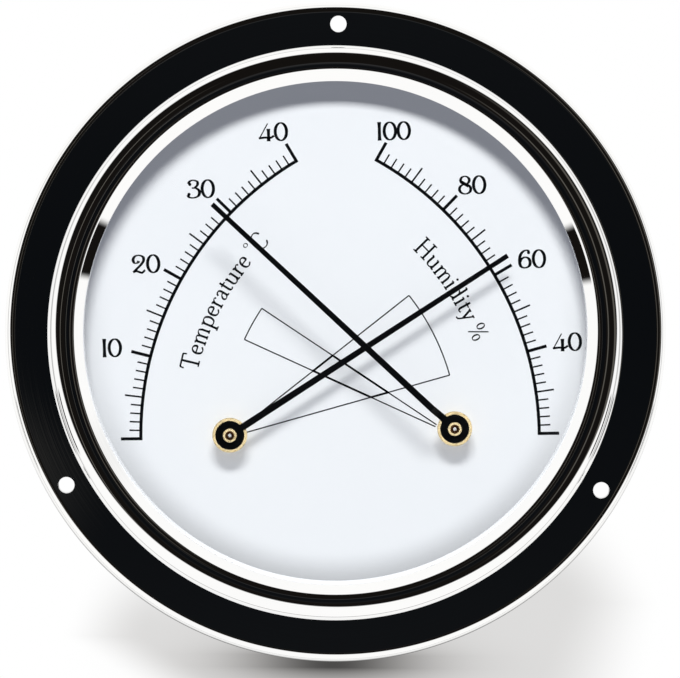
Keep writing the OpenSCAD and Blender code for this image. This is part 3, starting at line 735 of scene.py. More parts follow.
def pointer(x, angle, rise):
    """A flat pointer with a bored eye, cranked towards the reader by rise, edges softened."""
    lift = POINTER_T / 2
    start, end = CRANK
    bend = POINTER_T * math.tan(math.atan2(rise, end - start) / 2)
    wide, narrow, block = POINTER_W
    neck = POINTER_LEN - TIP_LEN

    def half_width(along):
        return (wide + (narrow - wide) * along / neck) / 2

    root = math.asin(half_width(EYE_R) / EYE_R)
    turns = [root + (2 * math.pi - 2 * root) * j / EYE_STEPS for j in range(EYE_STEPS + 1)]
    across = [root - 2 * root * j / 6 for j in range(1, 6)]
    outer, inner, throat = [[(r * math.cos(a), r * math.sin(a), 0.0, 0.0) for a in angles]
                            for r, angles in ((EYE_R, turns), (COLLET_NECK_R, turns),
                                              (COLLET_NECK_R, across))]
    stations = [(start, 0.0, bend / 2), (end, rise, bend / 2), (neck, rise, 0.0),
                (neck + 0.3, rise, 0.0), (POINTER_LEN, rise, 0.0)]
    blade = []
    for along, up, shift in stations:
        half = half_width(along) if along <= neck else block / 2
        blade += [(along, half, up, shift), (along, -half, up, shift)]
    made = bmesh.new()
    points = outer + inner + throat + blade
    top = [made.verts.new((px - s, py, EYE_Z + up + lift)) for px, py, up, s in points]
    low = [made.verts.new((px + s, py, EYE_Z + up - lift)) for px, py, up, s in points]
    first_in = len(outer)
    first_throat = first_in + len(inner)
    first_blade = first_throat + len(throat)
    last = EYE_STEPS
    plates = [(j, j + 1, first_in + j + 1, first_in + j) for j in range(last)]
    plates.append((0, first_in, *range(first_throat, first_blade), first_in + last, last))
    plates.append((0, last, first_blade + 1, first_blade))
    for k in range(len(stations) - 1):
        a = first_blade + 2 * k
        plates.append((a, a + 1, a + 3, a + 2))
    edge = list(range(last + 1))
    edge += [first_blade + 1 + 2 * k for k in range(len(stations))]
    edge += [first_blade + 2 * k for k in reversed(range(len(stations)))]
    hole = [first_in + j for j in range(last + 1)]
    hole += reversed(range(first_throat, first_blade))
    for plate in plates:
        made.faces.new([top[i] for i in plate])
        made.faces.new([low[i] for i in reversed(plate)])
    for loop in (edge, hole):
        for i, j in zip(loop, loop[1:] + loop[:1]):
            made.faces.new((low[i], low[j], top[j], top[i]))
    bmesh.ops.recalc_face_normals(made, faces=made.faces)
    bmesh.ops.triangulate(made, faces=[f for f in made.faces if len(f.verts) > 4])
    sharp = [e for e in made.edges if len(e.link_faces) == 2
             and e.calc_face_angle(0.0) > math.radians(60)]
    bmesh.ops.bevel(made, geom=sharp, offset=0.03, segments=2, profile=0.7,
                    affect="EDGES", clamp_overlap=True)
    mesh = mesh_of(made)
    turn = Matrix.Rotation(math.radians(angle), 4, "Z")
    mesh.transform(Matrix.Translation((x, HUB_Y, 0.0)) @ turn)
    in_row(mesh, True)
    mesh.polygons.foreach_set("use_smooth", [True] * len(mesh.polygons))
    mesh.set_sharp_from_angle(angle=math.radians(40))
    return mesh


piece("thermo_pointer_blade", pointer(THERMO_X, THERMO_ANGLE, CRANK_Z - EYE_Z), paint_black,
      "thermometer", "thermo_pointer", slot="pointer_black")
piece("hygro_pointer_blade", pointer(HYGRO_X, HYGRO_ANGLE, 0.0), paint_black, "hygrometer",
      "hygro_pointer", slot="pointer_black")


# Repeats in Geometry Nodes

class Grower(Tree):
    """A Geometry Nodes tree that sets copies of its mesh on points and makes them real."""

    def __init__(self, name, numbers):
        self.group = bpy.data.node_groups.new(name, "GeometryNodeTree")
        self.tree = self.group
        face = self.group.interface
        face.new_socket(name="Geometry", in_out="INPUT", socket_type="NodeSocketGeometry")
        self.values = numbers
        for label, value in numbers.items():
            kind = "NodeSocketInt" if isinstance(value, int) else "NodeSocketFloat"
            face.new_socket(name=label, in_out="INPUT", socket_type=kind)
        face.new_socket(name="Geometry", in_out="OUTPUT", socket_type="NodeSocketGeometry")
        self.given = self.node("NodeGroupInput")

    def value(self, label):
        return self.shade(self.given.outputs[label])

    def index(self):
        return self.shade(self.node("GeometryNodeInputIndex").outputs[0])

    def copies(self, scale, material):
        """Sets the copies on a circle, each turned to lie along its radius."""
        angle = self.index() * self.value("Step") + self.value("First")
        radius = self.value("Radius")
        spot = self.vector(angle.math("COSINE") * radius, angle.math("SINE") * radius, 0.0)
        dots = self.node("GeometryNodePoints", None, self.value("Count"), spot)
        many = self.node("GeometryNodeInstanceOnPoints", None, Points=dots.outputs[0],
                         Instance=self.value("Geometry"), Rotation=self.vector(0.0, 0.0, angle),
                         Scale=scale)
        real = self.node("GeometryNodeRealizeInstances", None, many.outputs[0])
        painted = self.node("GeometryNodeSetMaterial", None, real.outputs[0])
        painted.inputs["Material"].default_value = material
        end = self.node("NodeGroupOutput")
        self.join(end.inputs[0], painted.outputs[0])

    def grow(self, source):
        """Runs the tree on a source mesh and gives back the plain mesh."""
        holder = bpy.data.objects.new("grown", source)
        bpy.context.scene.collection.objects.link(holder)
        live = holder.modifiers.new("grow", "NODES")
        live.node_group = self.group
        for item in self.group.interface.items_tree:
            if item.in_out == "INPUT" and item.name in self.values:
                live[item.identifier] = self.values[item.name]
        graph = bpy.context.evaluated_depsgraph_get()
        mesh = bpy.data.meshes.new_from_object(holder.evaluated_get(graph))
        bpy.data.objects.remove(holder)
        return mesh


def prism(outline, low, high):
    """A closed upright prism over an outline given anticlockwise."""
    made = bmesh.new()
    bottom = [made.verts.new((x, y, low)) for x, y in outline]
    top = [made.verts.new((x, y, high)) for x, y in outline]
    made.faces.new(top)
    made.faces.new(list(reversed(bottom)))
    for i in range(len(outline)):
        j = (i + 1) % len(outline)
        made.faces.new((bottom[i], bottom[j], top[j], top[i]))
    return mesh_of(made)


# Ink stands proud of the dial and reaches a little into it
INK_LOW = DIAL_Z - 0.01
INK_HIGH = DIAL_Z + INK_T


def scale_ticks(middle, first, step):
    """The ticks of one scale: long and thick for tens, long and thin for fives."""
    grower = Grower("scale_ticks", {
        "Count": TICK_COUNT, "Radius": ARC_R, "First": math.radians(first),
        "Step": math.radians(step), "Major Length": 3.95, "Half Length": 3.6,
        "Minor Length": 2.25, "Major Width": 0.62, "Half Width": 0.34, "Minor Width": 0.30})
    count = grower.index()
    ten = 1.0 - count.math("MODULO", 10.0).math("GREATER_THAN", 0.5)
    five = 1.0 - count.math("MODULO", 5.0).math("GREATER_THAN", 0.5)

    def pick(word):
        minor = grower.value("Minor " + word)
        half = grower.value("Half " + word)
        major = grower.value("Major " + word)
        return minor + (half - minor) * five + (major - half) * ten

    grower.copies(grower.vector(pick("Length"), pick("Width"), 1.0), ink)
    unit = prism([(0.0, -0.5), (1.0, -0.5), (1.0, 0.5), (0.0, 0.5)], INK_LOW, INK_HIGH)
    mesh = grower.grow(unit)
    mesh.transform(Matrix.Translation((*middle, 0.0)))
    return in_row(mesh, True)


def rear_screws():
    """The three cheese-head screws in the case's rear wall."""
    head = 2.8
    shaft = 1.45
    shaft_end = -CASE_DEPTH + 7.0
    soft = 0.18
    back = -CASE_DEPTH - 1.6
    slot_half = 0.35
    slot_depth = 0.7
    runs = line((0.0, back), (head - soft, back))
    runs += arc((head - soft, back + soft), soft, -90, 0, 6)
    runs += line((head, back + soft), (head, -CASE_DEPTH), (shaft, -CASE_DEPTH),
                 (shaft, shaft_end), (0.0, shaft_end))
    screw = lathe(runs, 96)
    slot = prism([(-4.0, -slot_half), (4.0, -slot_half), (4.0, slot_half), (-4.0, slot_half)],
                 back - 1.0, back + slot_depth)

    def rule(point, normal, centre):
        radius = math.hypot(point.x, point.y)
        off = math.hypot(centre.x, centre.y)
        if abs(normal.z) < 0.3 and min(radius, off) > shaft - 0.05:
            return (point.x / radius, point.y / radius, 0.0)
        return tuple(normal)

    screw = drill(screw, slot, rule)
    grower = Grower("screws_in_a_circle", {
        "Count": 3, "Radius": REAR_SCREW_CIRCLE_R, "First": math.pi / 2, "Step": math.pi * 2 / 3})
    grower.copies(grower.vector(1.0, 1.0, 1.0), steel)
    return place(grower.grow(screw), turned=True)


piece("case_screws_turned", rear_screws(), steel, "case", "case_screws", slot="bright_steel")
piece("temperature_ticks", scale_ticks(THERMO_MIDDLE, THERMO_ZERO, -SCALE_STEP), ink, "case")
piece("humidity_ticks", scale_ticks(HYGRO_MIDDLE, HYGRO_ZERO, SCALE_STEP), ink, "case")


# Printing on the dial

def heading(path, closed):
    """The direction along a path at each of its points, 1 long."""
    if closed:
        ahead = np.roll(path, -1, 0) - np.roll(path, 1, 0)
    else:
        ahead = np.gradient(path, axis=0)
    return ahead / np.linalg.norm(ahead, axis=1)[:, None]


class Print:
    """Closed flat strips of ink on the dial, gathered into one mesh."""

    def __init__(self):
        self.made = bmesh.new()

    def strip(self, left, right, closed=False):
        """A strip between its left and right edges, as seen along it."""
        rows = []
        for (lx, ly), (rx, ry) in zip(left, right):
            rows.append([self.made.verts.new(c) for c in (
                (lx, ly, INK_HIGH), (rx, ry, INK_HIGH), (rx, ry, INK_LOW),
                (lx, ly, INK_LOW))])
        pairs = list(zip(rows, rows[1:]))
        if closed:
            pairs.append((rows[-1], rows[0]))
        for a, b in pairs:
            for i in range(4):
                j = (i + 1) % 4
                self.made.faces.new((a[i], a[j], b[j], b[i]))
        if not closed:
            self.made.faces.new(list(reversed(rows[0])))
            self.made.faces.new(rows[-1])

    def stroke(self, path, widths, closed=False):
        """A strip along a path with the width given at each of its points."""
        path = np.asarray(path, float)
        ahead = heading(path, closed)
        off = np.stack([-ahead[:, 1], ahead[:, 0]], 1) * (np.asarray(widths)[:, None] / 2)
        self.strip((path + off).tolist(), (path - off).tolist(), closed)

    def line(self, a, b, width):
        self.stroke([a, b], [width, width])

    def ring(self, centre, radius, width, start, end):
        """Part of a circle, in degrees."""
        steps = max(8, int(abs(end - start) / 1.0))
        turn = np.radians(np.linspace(start, end, steps + 1))
        path = np.stack([centre[0] + radius * np.cos(turn),
                         centre[1] + radius * np.sin(turn)], 1)
        self.stroke(path, [width] * len(path))

    def spot(self, centre, radius):
        path = oval(*centre, radius * 0.5, radius * 0.5, 24)
        self.stroke(path, [radius * 0.999] * len(path), True)

    def mesh(self):
        bmesh.ops.recalc_face_normals(self.made, faces=self.made.faces)
        return in_row(mesh_of(self.made), True)


def smooth(points, steps):
    """Points on a smooth curve through the given ones (x, y and any more columns)."""
    p = np.asarray(points, float)
    p = np.vstack([2 * p[0] - p[1], p, 2 * p[-1] - p[-2]])
    out = []
    for a, b, c, d in zip(p, p[1:], p[2:], p[3:]):
        for i in range(steps):
            t = i / steps
            out.append(0.5 * (2 * b + (c - a) * t + (2 * a - 5 * b + 4 * c - d) * t * t
                              + (3 * b - a - 3 * c + d) * t * t * t))
    out.append(p[-2])
    return np.array(out)


def oval(cx, cy, rx, ry, count=44):
    turn = np.linspace(0, 2 * math.pi, count, endpoint=False)
    return np.stack([cx + rx * np.cos(turn), cy + ry * np.sin(turn)], 1)


# Strokes of the characters, on a grid where a capital is 1 high. Each stroke is its kind,
# its points and its boldness: c curve, o oval, s stem with flared ends, p plain stem, l thin
# line, d dot. Upright parts of curves and ovals come out thick and level ones thin.

def level(x0, x1, y=0.02):
    """A thin level line, such as a stem's foot."""
    return ("l", [(x0, y), (x1, y)], 0.8)


def flick(x0, x1, y0=0.55, y1=0.58):
    """The short slanting start of a stem."""
    return ("l", [(x0, y0), (x1, y1)], 0.8)


def stem(x, high, low=0.0):
    return ("p", [(x, low), (x, high)], 1.0)


def curve(bold, *points):
    return ("c", list(points), bold)


FORMS = {
    "0": (0.64, [("o", (0.32, 0.49, 0.26, 0.46), 1.0)]),
    "1": (0.26, [("s", [(0.10, 0.0), (0.10, 0.98)], 1.0)]),
    "2": (0.66, [curve(0.95, (0.31, 0.66), (0.28, 0.57), (0.13, 0.55), (0.06, 0.72),
                       (0.15, 0.90), (0.33, 0.955), (0.52, 0.86), (0.54, 0.67), (0.42, 0.46),
                       (0.22, 0.24), (0.06, 0.06)),
                 ("l", [(0.05, 0.06), (0.18, 0.12), (0.32, 0.08), (0.46, 0.03),
                        (0.60, 0.17)], 1.0)]),
    "3": (0.66, [("d", (0.16, 0.74), 0.085),
                 curve(0.9, (0.10, 0.76), (0.15, 0.89), (0.31, 0.96), (0.50, 0.88),
                       (0.51, 0.72), (0.40, 0.58), (0.25, 0.54)),
                 curve(1.0, (0.25, 0.55), (0.46, 0.52), (0.59, 0.36), (0.54, 0.13),
                       (0.33, 0.03), (0.13, 0.06), (0.05, 0.19)),
                 ("d", (0.11, 0.22), 0.085)]),
    "4": (0.72, [("l", [(0.44, 0.94), (0.06, 0.18)], 0.55),
                 ("l", [(0.02, 0.17), (0.30, 0.20), (0.50, 0.18), (0.60, 0.20),
                        (0.72, 0.29)], 1.0),
                 ("s", [(0.47, 0.0), (0.47, 0.66)], 1.0)]),
    "6": (0.64, [("d", (0.49, 0.83), 0.085),
                 curve(1.0, (0.52, 0.86), (0.42, 0.95), (0.25, 0.90), (0.11, 0.70),
                       (0.07, 0.40), (0.12, 0.12), (0.31, 0.03), (0.50, 0.12), (0.55, 0.32),
                       (0.48, 0.52), (0.32, 0.59), (0.16, 0.50), (0.10, 0.38))]),
    "8": (0.66, [("o", (0.33, 0.745, 0.20, 0.205), 0.9),
                 ("o", (0.33, 0.275, 0.26, 0.25), 0.95),
                 ("l", [(0.17, 0.66), (0.33, 0.54), (0.50, 0.42)], 1.5)]),
    "T": (0.80, [stem(0.39, 0.97), ("l", [(0.06, 0.96), (0.72, 0.96)], 1.0),
                 flick(0.06, 0.03, 0.98, 0.76), flick(0.72, 0.75, 0.98, 0.76),
                 level(0.24, 0.54)]),
    "e": (0.50, [level(0.07, 0.43, 0.34),
                 curve(1.0, (0.43, 0.34), (0.39, 0.52), (0.26, 0.59), (0.12, 0.50),
                       (0.07, 0.30), (0.13, 0.09), (0.28, 0.02), (0.44, 0.11))]),
    "m": (0.92, [stem(0.14, 0.58), stem(0.45, 0.44), stem(0.76, 0.44),
                 curve(0.9, (0.15, 0.45), (0.26, 0.57), (0.39, 0.57), (0.45, 0.42)),
                 curve(0.9, (0.46, 0.45), (0.57, 0.57), (0.70, 0.57), (0.76, 0.42)),
                 level(0.04, 0.24), level(0.36, 0.54), level(0.67, 0.86), flick(0.04, 0.15)]),
    "p": (0.60, [stem(0.14, 0.58, -0.30),
                 curve(1.0, (0.15, 0.46), (0.27, 0.58), (0.44, 0.54), (0.52, 0.31),
                       (0.45, 0.07), (0.28, 0.02), (0.15, 0.09)),
                 level(0.03, 0.27, -0.29), flick(0.03, 0.15)]),
    "r": (0.42, [stem(0.13, 0.58),
                 curve(0.8, (0.14, 0.40), (0.20, 0.52), (0.31, 0.58), (0.38, 0.54)),
                 ("d", (0.37, 0.53), 0.05), level(0.03, 0.25), flick(0.03, 0.14)]),
    "a": (0.50, [curve(1.0, (0.09, 0.47), (0.17, 0.57), (0.29, 0.58), (0.36, 0.46),
                       (0.36, 0.12), (0.41, 0.03), (0.48, 0.05)),
                 curve(0.9, (0.36, 0.36), (0.18, 0.29), (0.09, 0.15), (0.15, 0.03),
                       (0.27, 0.04), (0.36, 0.13))]),
    "t": (0.36, [curve(1.0, (0.15, 0.76), (0.15, 0.40), (0.15, 0.13), (0.22, 0.03),
                       (0.34, 0.07)), level(0.03, 0.33, 0.56)]),
    "u": (0.62, [curve(1.0, (0.13, 0.58), (0.13, 0.35), (0.14, 0.12), (0.24, 0.02),
                       (0.37, 0.05), (0.47, 0.16)), stem(0.47, 0.58),
                 flick(0.03, 0.14, 0.56, 0.57), flick(0.37, 0.48, 0.56, 0.57),
                 flick(0.47, 0.58, 0.02, 0.03)]),
    "C": (0.74, [curve(0.9, (0.66, 0.74), (0.56, 0.92), (0.40, 0.97), (0.16, 0.84),
                       (0.07, 0.50), (0.16, 0.15), (0.40, 0.02), (0.58, 0.07),
                       (0.69, 0.22))]),
    "H": (0.84, [stem(0.16, 0.97), stem(0.66, 0.97), level(0.16, 0.66, 0.51),
                 level(0.02, 0.30), level(0.52, 0.80), level(0.02, 0.30, 0.96),
                 level(0.52, 0.80, 0.96)]),
    "i": (0.30, [stem(0.14, 0.58), ("d", (0.13, 0.82), 0.065), level(0.03, 0.25),
                 flick(0.03, 0.15)]),
    "d": (0.62, [stem(0.47, 0.98),
                 curve(1.0, (0.46, 0.48), (0.33, 0.58), (0.15, 0.52), (0.08, 0.28),
                       (0.15, 0.06), (0.31, 0.02), (0.46, 0.13)),
                 flick(0.36, 0.48, 0.95, 0.98), flick(0.47, 0.58, 0.02, 0.03)]),
    "y": (0.54, [("p", [(0.09, 0.57), (0.28, 0.04)], 1.0),
                 ("l", [(0.46, 0.57), (0.28, 0.04), (0.19, -0.20), (0.06, -0.25)], 0.9),
                 level(0.0, 0.20, 0.57), level(0.37, 0.54, 0.57)]),
    "%": (0.84, [("o", (0.20, 0.72, 0.12, 0.21), 0.7), ("o", (0.62, 0.24, 0.12, 0.21), 0.7),
                 ("l", [(0.62, 0.98), (0.20, -0.02)], 0.7)]),
    "ring": (0.34, [("o", (0.14, 0.86, 0.10, 0.10), 0.5)]),
    " ": (0.26, []),
}


def draw(page, form, origin, angle, size, wide, thick, thin):
    """Draws one character at an origin, turned by an angle, and returns its advance."""
    advance, strokes = FORMS[form]
    c, s = math.cos(angle), math.sin(angle)

    def at(points):
        p = np.asarray(points, float)[:, :2] * (size * wide, size)
        return np.stack([origin[0] + p[:, 0] * c - p[:, 1] * s,
                         origin[1] + p[:, 0] * s + p[:, 1] * c], 1)

    for kind, points, bold in strokes:
        if kind == "d":
            page.spot(at([points])[0], bold * size)
            continue
        closed = kind == "o"
        if closed:
            path = oval(*points)
        else:
            path = smooth(points, 7 if kind == "c" or len(points) > 2 else 10)
        if kind in "co":
            upright = np.abs(heading(path, closed)[:, 1])
            widths = thin + (thick - thin) * upright ** 1.7
        elif kind == "l":
            widths = np.full(len(path), thin * 1.5)
        else:
            ends = np.abs(np.linspace(-1, 1, len(path))) ** 3
            widths = thick * (1.0 + (0.28 if kind == "s" else 0.0) * ends)
        page.stroke(at(path), widths * bold, closed)
    return advance * size * wide


# Size, widening, and the thick and thin strokes
NUMBER_FACE = (3.75, 1.15, 0.62, 0.28)
WORD_FACE = (3.7, 1.08, 0.44, 0.24)
WORD_R = 53.5


def number(page, digits, centre):
    """A number of the scales, upright on the dial and centred."""
    size, wide = NUMBER_FACE[:2]
    x = centre[0] - sum(FORMS[d][0] for d in digits) * size * wide / 2
    for d in digits:
        x += draw(page, d, (x, centre[1] - size / 2 + 0.06), 0.0, *NUMBER_FACE)


def word(page, forms, centre, first):
    """A word round a scale's middle, read clockwise, with the letters' tops outwards."""
    turn = math.radians(first)
    for form in forms:
        origin = (centre[0] + WORD_R * math.cos(turn), centre[1] + WORD_R * math.sin(turn))
        turn -= draw(page, form, origin, turn - math.pi / 2, *WORD_FACE) / WORD_R


arcs = Print()
half = math.degrees(0.3 / ARC_R)
sweep = SCALE_STEP * (TICK_COUNT - 1)
arcs.ring(THERMO_MIDDLE, ARC_R, ARC_W, THERMO_ZERO + half, THERMO_ZERO - sweep - half)
arcs.ring(HYGRO_MIDDLE, ARC_R, ARC_W, HYGRO_ZERO - half, HYGRO_ZERO + sweep + half)
piece("scale_arcs", arcs.mesh(), ink, "case")

numbers = Print()
for digits, centre in (("10", (-44.30, -2.10)), ("20", (-37.07, 14.34)),
                       ("30", (-25.83, 28.87)), ("40", (-11.19, 39.73)),
                       ("100", (12.71, 39.24)), ("80", (27.83, 28.13)),
                       ("60", (39.29, 13.15)), ("40", (45.78, -3.49))):
    number(numbers, digits, centre)
piece("scale_numbers", numbers.mesh(), ink, "case")

words = Print()
word(words, [*"Temperature ", "ring", "C"], THERMO_MIDDLE, 164.8)
word(words, [*"Humidity %"], HYGRO_MIDDLE, 42.9)
piece("scale_words", words.mesh(), ink, "case")


# The two thin sectors that show comfortable values, and where they overlap

def crossing(hub_a, angle_a, hub_b, angle_b):
    """Where two lines from two points meet."""
    da = (math.cos(math.radians(angle_a)), math.sin(math.radians(angle_a)))
    db = (math.cos(math.radians(angle_b)), math.sin(math.radians(angle_b)))
    dx, dy = hub_b[0] - hub_a[0], hub_b[1] - hub_a[1]
    t = (dx * db[1] - dy * db[0]) / (da[0] * db[1] - da[1] * db[0])
    return (hub_a[0] + da[0] * t, hub_a[1] + da[1] * t)


COMFORT_THERMO = ((21.83, -20.80), 44.45, 2.85, (144.66, 153.78))
COMFORT_HYGRO = ((-21.71, -20.48), 45.45, 3.6, (36.63, 14.13))
zone = Print()
fine = 0.25
bold = 0.42
for centre, radius, start, angles in (COMFORT_THERMO, COMFORT_HYGRO):
    zone.ring(centre, radius, fine, *angles)
    for angle in angles:
        a = math.radians(angle)
        zone.line((centre[0] + start * math.cos(a), centre[1] + start * math.sin(a)),
                  (centre[0] + radius * math.cos(a), centre[1] + radius * math.sin(a)), fine)
corners = [crossing(COMFORT_THERMO[0], COMFORT_THERMO[3][i], COMFORT_HYGRO[0],
                    COMFORT_HYGRO[3][j]) for i, j in ((0, 0), (0, 1), (1, 1), (1, 0))]
for a, b in zip(corners, corners[1:] + corners[:1]):
    zone.line(a, b, bold)
piece("comfort_lines", zone.mesh(), ink, "case")


# Finishes of the pieces that stay as they were built
FINISHES = {
    glass_clear: ["glass"],
    rubber: ["glass_gasket"],
    dial_white: ["dial"],
    plate_brass: ["dial_feet", "dial_foot_nuts", "movement_plate", "case_pillars",
                  "bridge_pillars", "thermo_bridge", "thermo_front_bush",
                  "thermo_coil_collet", "thermo_regulator", "hygro_bridge",
                  "hygro_front_bush", "hair_crank", "crank_ferrule", "regulator_ferrule",
                  "spring_collet", "spring_stud", "hair_bridge", "hygro_regulator"],
    steel: ["plate_screws", "bridge_screws", "coil_stud", "thermo_regulator_washer",
            "hygro_regulator_washer", "tension_spring"],
    strip: ["bimetal_coil"],
    hair: ["hair_bundle"],
}
for material, names in FINISHES.items():
    for name in names:
        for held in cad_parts[name].material_slots:
            held.material = material


# Camera, at the photograph's angle and distance

FOCAL_PX = 6612.0
DISTANCE = 1.300
ABOVE = math.radians(3.1)


def look(location, target, up_turn, aim):
    """A camera that shows the target off its middle by aim pixels, rolled by up_turn."""
    camera = bpy.data.cameras.new("camera")
    camera.sensor_width = 36.0
    camera.lens = FOCAL_PX / 680.0 * 36.0
    camera.clip_start = 0.05
    camera.clip_end = 30.0
    obj = bpy.data.objects.new("camera", camera)
    bpy.context.scene.collection.objects.link(obj)
    ahead = (target - location).normalized()
    turn = ahead.to_track_quat("-Z", "Y").to_matrix().to_4x4()
    turn = turn @ Matrix.Rotation(up_turn, 4, "Z")
    turn = turn @ Matrix.Rotation(-aim[1] / FOCAL_PX, 4, "X")
    turn = turn @ Matrix.Rotation(aim[0] / FOCAL_PX, 4, "Y")
    obj.matrix_world = Matrix.Translation(location) @ turn
    bpy.context.scene.camera = obj


face = Vector((0.0, -FLANGE_T / 1000, 0.0))
eye = face + DISTANCE * Vector((0.0, -math.cos(ABOVE), math.sin(ABOVE)))
look(eye, face, math.radians(0.56), (-4.65, 5.55))


# Studio: floor, light and what the polished metal mirrors

FLOOR_Z = -0.065


def studio_floor():
    """A flat floor that curves up into a wall all round, seen from inside."""
    runs = [[(5.5, 5.0, -1.0, 0.0), (5.5, FLOOR_Z + 1.0, -1.0, 0.0)]]
    runs += arc((4.5, FLOOR_Z + 1.0), 1.0, 0, -90, 24)
    flat = [4.5, 2.0, 1.0, 0.5, 0.3, 0.2, 0.0]
    runs += [[(r, FLOOR_Z, 0.0, 1.0) for r in flat]]
    return lathe(runs, 128)


LAMP_DISTANCE = 5.0
# Painted shadow on the floor: where it ends at each side, how dark it is, and how dark the
# painted contact shadow is
SHADOW_SIDES = (-38.0, 50.0)
SHADOW_TONE = 0.28
CONTACT_SHADOW_TONE = 0.9


def glowing(material, tree, colour):
    """Shows the colour as it is, without a light on it."""
    light = tree.node("ShaderNodeEmission", None, colour)
    tree.out(light)
    return material


def floor_material():
    """White paper that glows, with the instrument's soft shadow painted on it and a painted
    contact shadow, darkest where the flange rests.
    """
    material = bpy.data.materials.new("studio_floor")
    tree = Tree(material)
    x, depth, _ = tree.places()[1]
    left = (depth * -0.20).math("MAXIMUM", -9.0).math("MINIMUM", 12.0) + SHADOW_SIDES[0]
    right = (depth * 0.07).math("MAXIMUM", -5.0).math("MINIMUM", 9.0) + SHADOW_SIDES[1]
    shadow_span = (1.0 - x.step(right - 9.0, right + 13.0)) * x.step(left - 9.0, left + 9.0)
    shadow_reach_left = 1.0 - depth.step(60.0, 260.0)
    shadow_reach_right = 1.0 - depth.step(150.0, 430.0)
    reach = shadow_reach_left + (shadow_reach_right - shadow_reach_left) * x.step(-20.0, 20.0)
    # Painted soft shadow of the instrument, in front of it and behind it
    soft = shadow_span * reach * depth.step(-115.0, -55.0) * SHADOW_TONE
    # Painted contact shadow, darkest where the flange rests
    painted_contact_shadow = ((8.0 - depth.math("ABSOLUTE")) / 35.0).math("EXPONENT")
    painted_contact_shadow = painted_contact_shadow.math("MINIMUM", CONTACT_SHADOW_TONE) * (x * x * -0.0025).math("EXPONENT")
    # The floor's white, with both painted shadows taken off
    paper = (1.0 - soft) * (1.0 - painted_contact_shadow)
    # The painted shadow is a little warm
    shadow_warmth = (1.0 - paper) * (1.0 - painted_contact_shadow) * 0.02
    return glowing(material, tree, tree.vector(paper + shadow_warmth, paper, paper - shadow_warmth))


def edge_terms(c1, s1):
    """Cosine and sine terms up to three, and the cosine of four, of one angle."""
    c2 = c1 * c1 - s1 * s1
    s2 = s1 * c1 * 2.0
    c3 = c1 * c2 - s1 * s2
    s3 = s1 * c2 + c1 * s2
    c4 = c2 * c2 - s2 * s2
    return [c1, s1, c2, s2, c3, s3, c4]


# How far off the axis the dark room ends and the bright studio starts, every 45 degrees
# clockwise from the top
DARK_EDGE = (65.0, 72.0, 72.0, 50.0, 30.0, 39.0, 61.0, 68.0)

# Pale streaks in the dark front: degrees off the axis, half width, where it fades out, right
# or left, and strength
STREAKS = ((23.0, 1.0, 4.0, 1.0, 0.10), (59.0, 2.0, 7.0, 1.0, 0.10),
           (34.0, 0.5, 2.0, -1.0, 0.15), (6.0, 0.3, 1.2, -1.0, 0.08))
STREAK_TINT = (1.0, 0.94, 0.82)
STUDIO_TINT = (1.0, 0.995, 0.985)


def band(value, middle, whole, faded):
    """1 within whole of the middle, and 0 from faded on."""
    return 1.0 - (value - middle).math("ABSOLUTE").step(whole, faded)


def dark_edge(up, side):
    """The angle where the dark front ends, as a smooth curve through DARK_EDGE."""
    turns = np.radians(np.arange(8) * 45.0)
    rows = [[1.0, *edge_terms(math.cos(t), math.sin(t))] for t in turns]
    weights = np.linalg.solve(np.array(rows), np.array(DARK_EDGE)).tolist()
    edge = weights[0]
    for weight, term in zip(weights[1:], edge_terms(up, side)):
        edge = term * weight + edge
    return edge


def dome_material():
    """What the mirror-bright metal reflects: a dark front, bright sides and a floor."""
    material = bpy.data.materials.new("studio_dome")
    tree = Tree(material)
    coords = tree.node("ShaderNodeTexCoord").outputs["Object"]
    unit = tree.node("ShaderNodeVectorMath", {"operation": "NORMALIZE"}, coords)
    apart = tree.node("ShaderNodeSeparateXYZ", None, unit.outputs[0])
    x, y, z = [tree.shade(apart.outputs[i]) for i in range(3)]
    off = (x * x + z * z).math("SQRT").math("MAXIMUM", 0.0001)
    angle = (y * -1.0).math("ARCCOSINE") * (180.0 / math.pi)
    up, side = z / off, x / off
    aside = side.math("ABSOLUTE")
    below = (up * -1.0).step(0.25, 1.0)

    # Two dark stands in the bright sides
    stands = band(up, -0.368, 0.085, 0.12) * aside.step(0.80, 0.86)
    stands = stands * angle.step(74.5, 76.0) * (1.0 - angle.step(81.0, 82.5))
    edge = dark_edge(up, side)
    bright = angle.step(edge - 2.5, edge + 2.5) * (1.0 - stands)

    # The dark front, with a soft sheen in its middle and pale streaks
    middle = 1.0 - angle.step(8.0, 14.0)
    front = tree.blend(middle, (0.0070, 0.0060, 0.0052, 1.0), (0.0035, 0.0042, 0.0052, 1.0))
    sheen = (z + 0.05) * (z + 0.05) * middle * 0.6
    streaks = 0.0
    for at, whole, faded, hand, strength in STREAKS:
        reach = (side * hand).step(0.4, 0.9) * strength
        streaks = band(angle, at, whole, faded) * reach + streaks
    front = tree.plus(front, tree.tinted(sheen, (1.0, 1.0, 1.0)))
    front = tree.plus(front, tree.tinted(streaks, STREAK_TINT))

    # The bright studio, with a grey line level with the flange, a darker room at both sides,
    # the floor's shade and a darker rear
    line_tone = band(angle, 93.0, 0.6, 2.4) * (below * 0.30 + 0.38)
    room_tone = band(angle, 90.5, 3.0, 6.0) * aside.step(0.75, 0.98) * 0.40
    floor_tone = below * angle.step(97.0, 165.0) * 0.95
    rear_tone = angle.step(150.0, 175.0) * (1.0 - z.step(-0.1, 0.3)) * 0.35
    shine = (1.0 - line_tone) * (1.0 - room_tone) * (1.0 - floor_tone) * (1.0 - rear_tone)
    white = tree.tinted(shine * 1.03, STUDIO_TINT)
    return glowing(material, tree, tree.blend(bright, front, white))


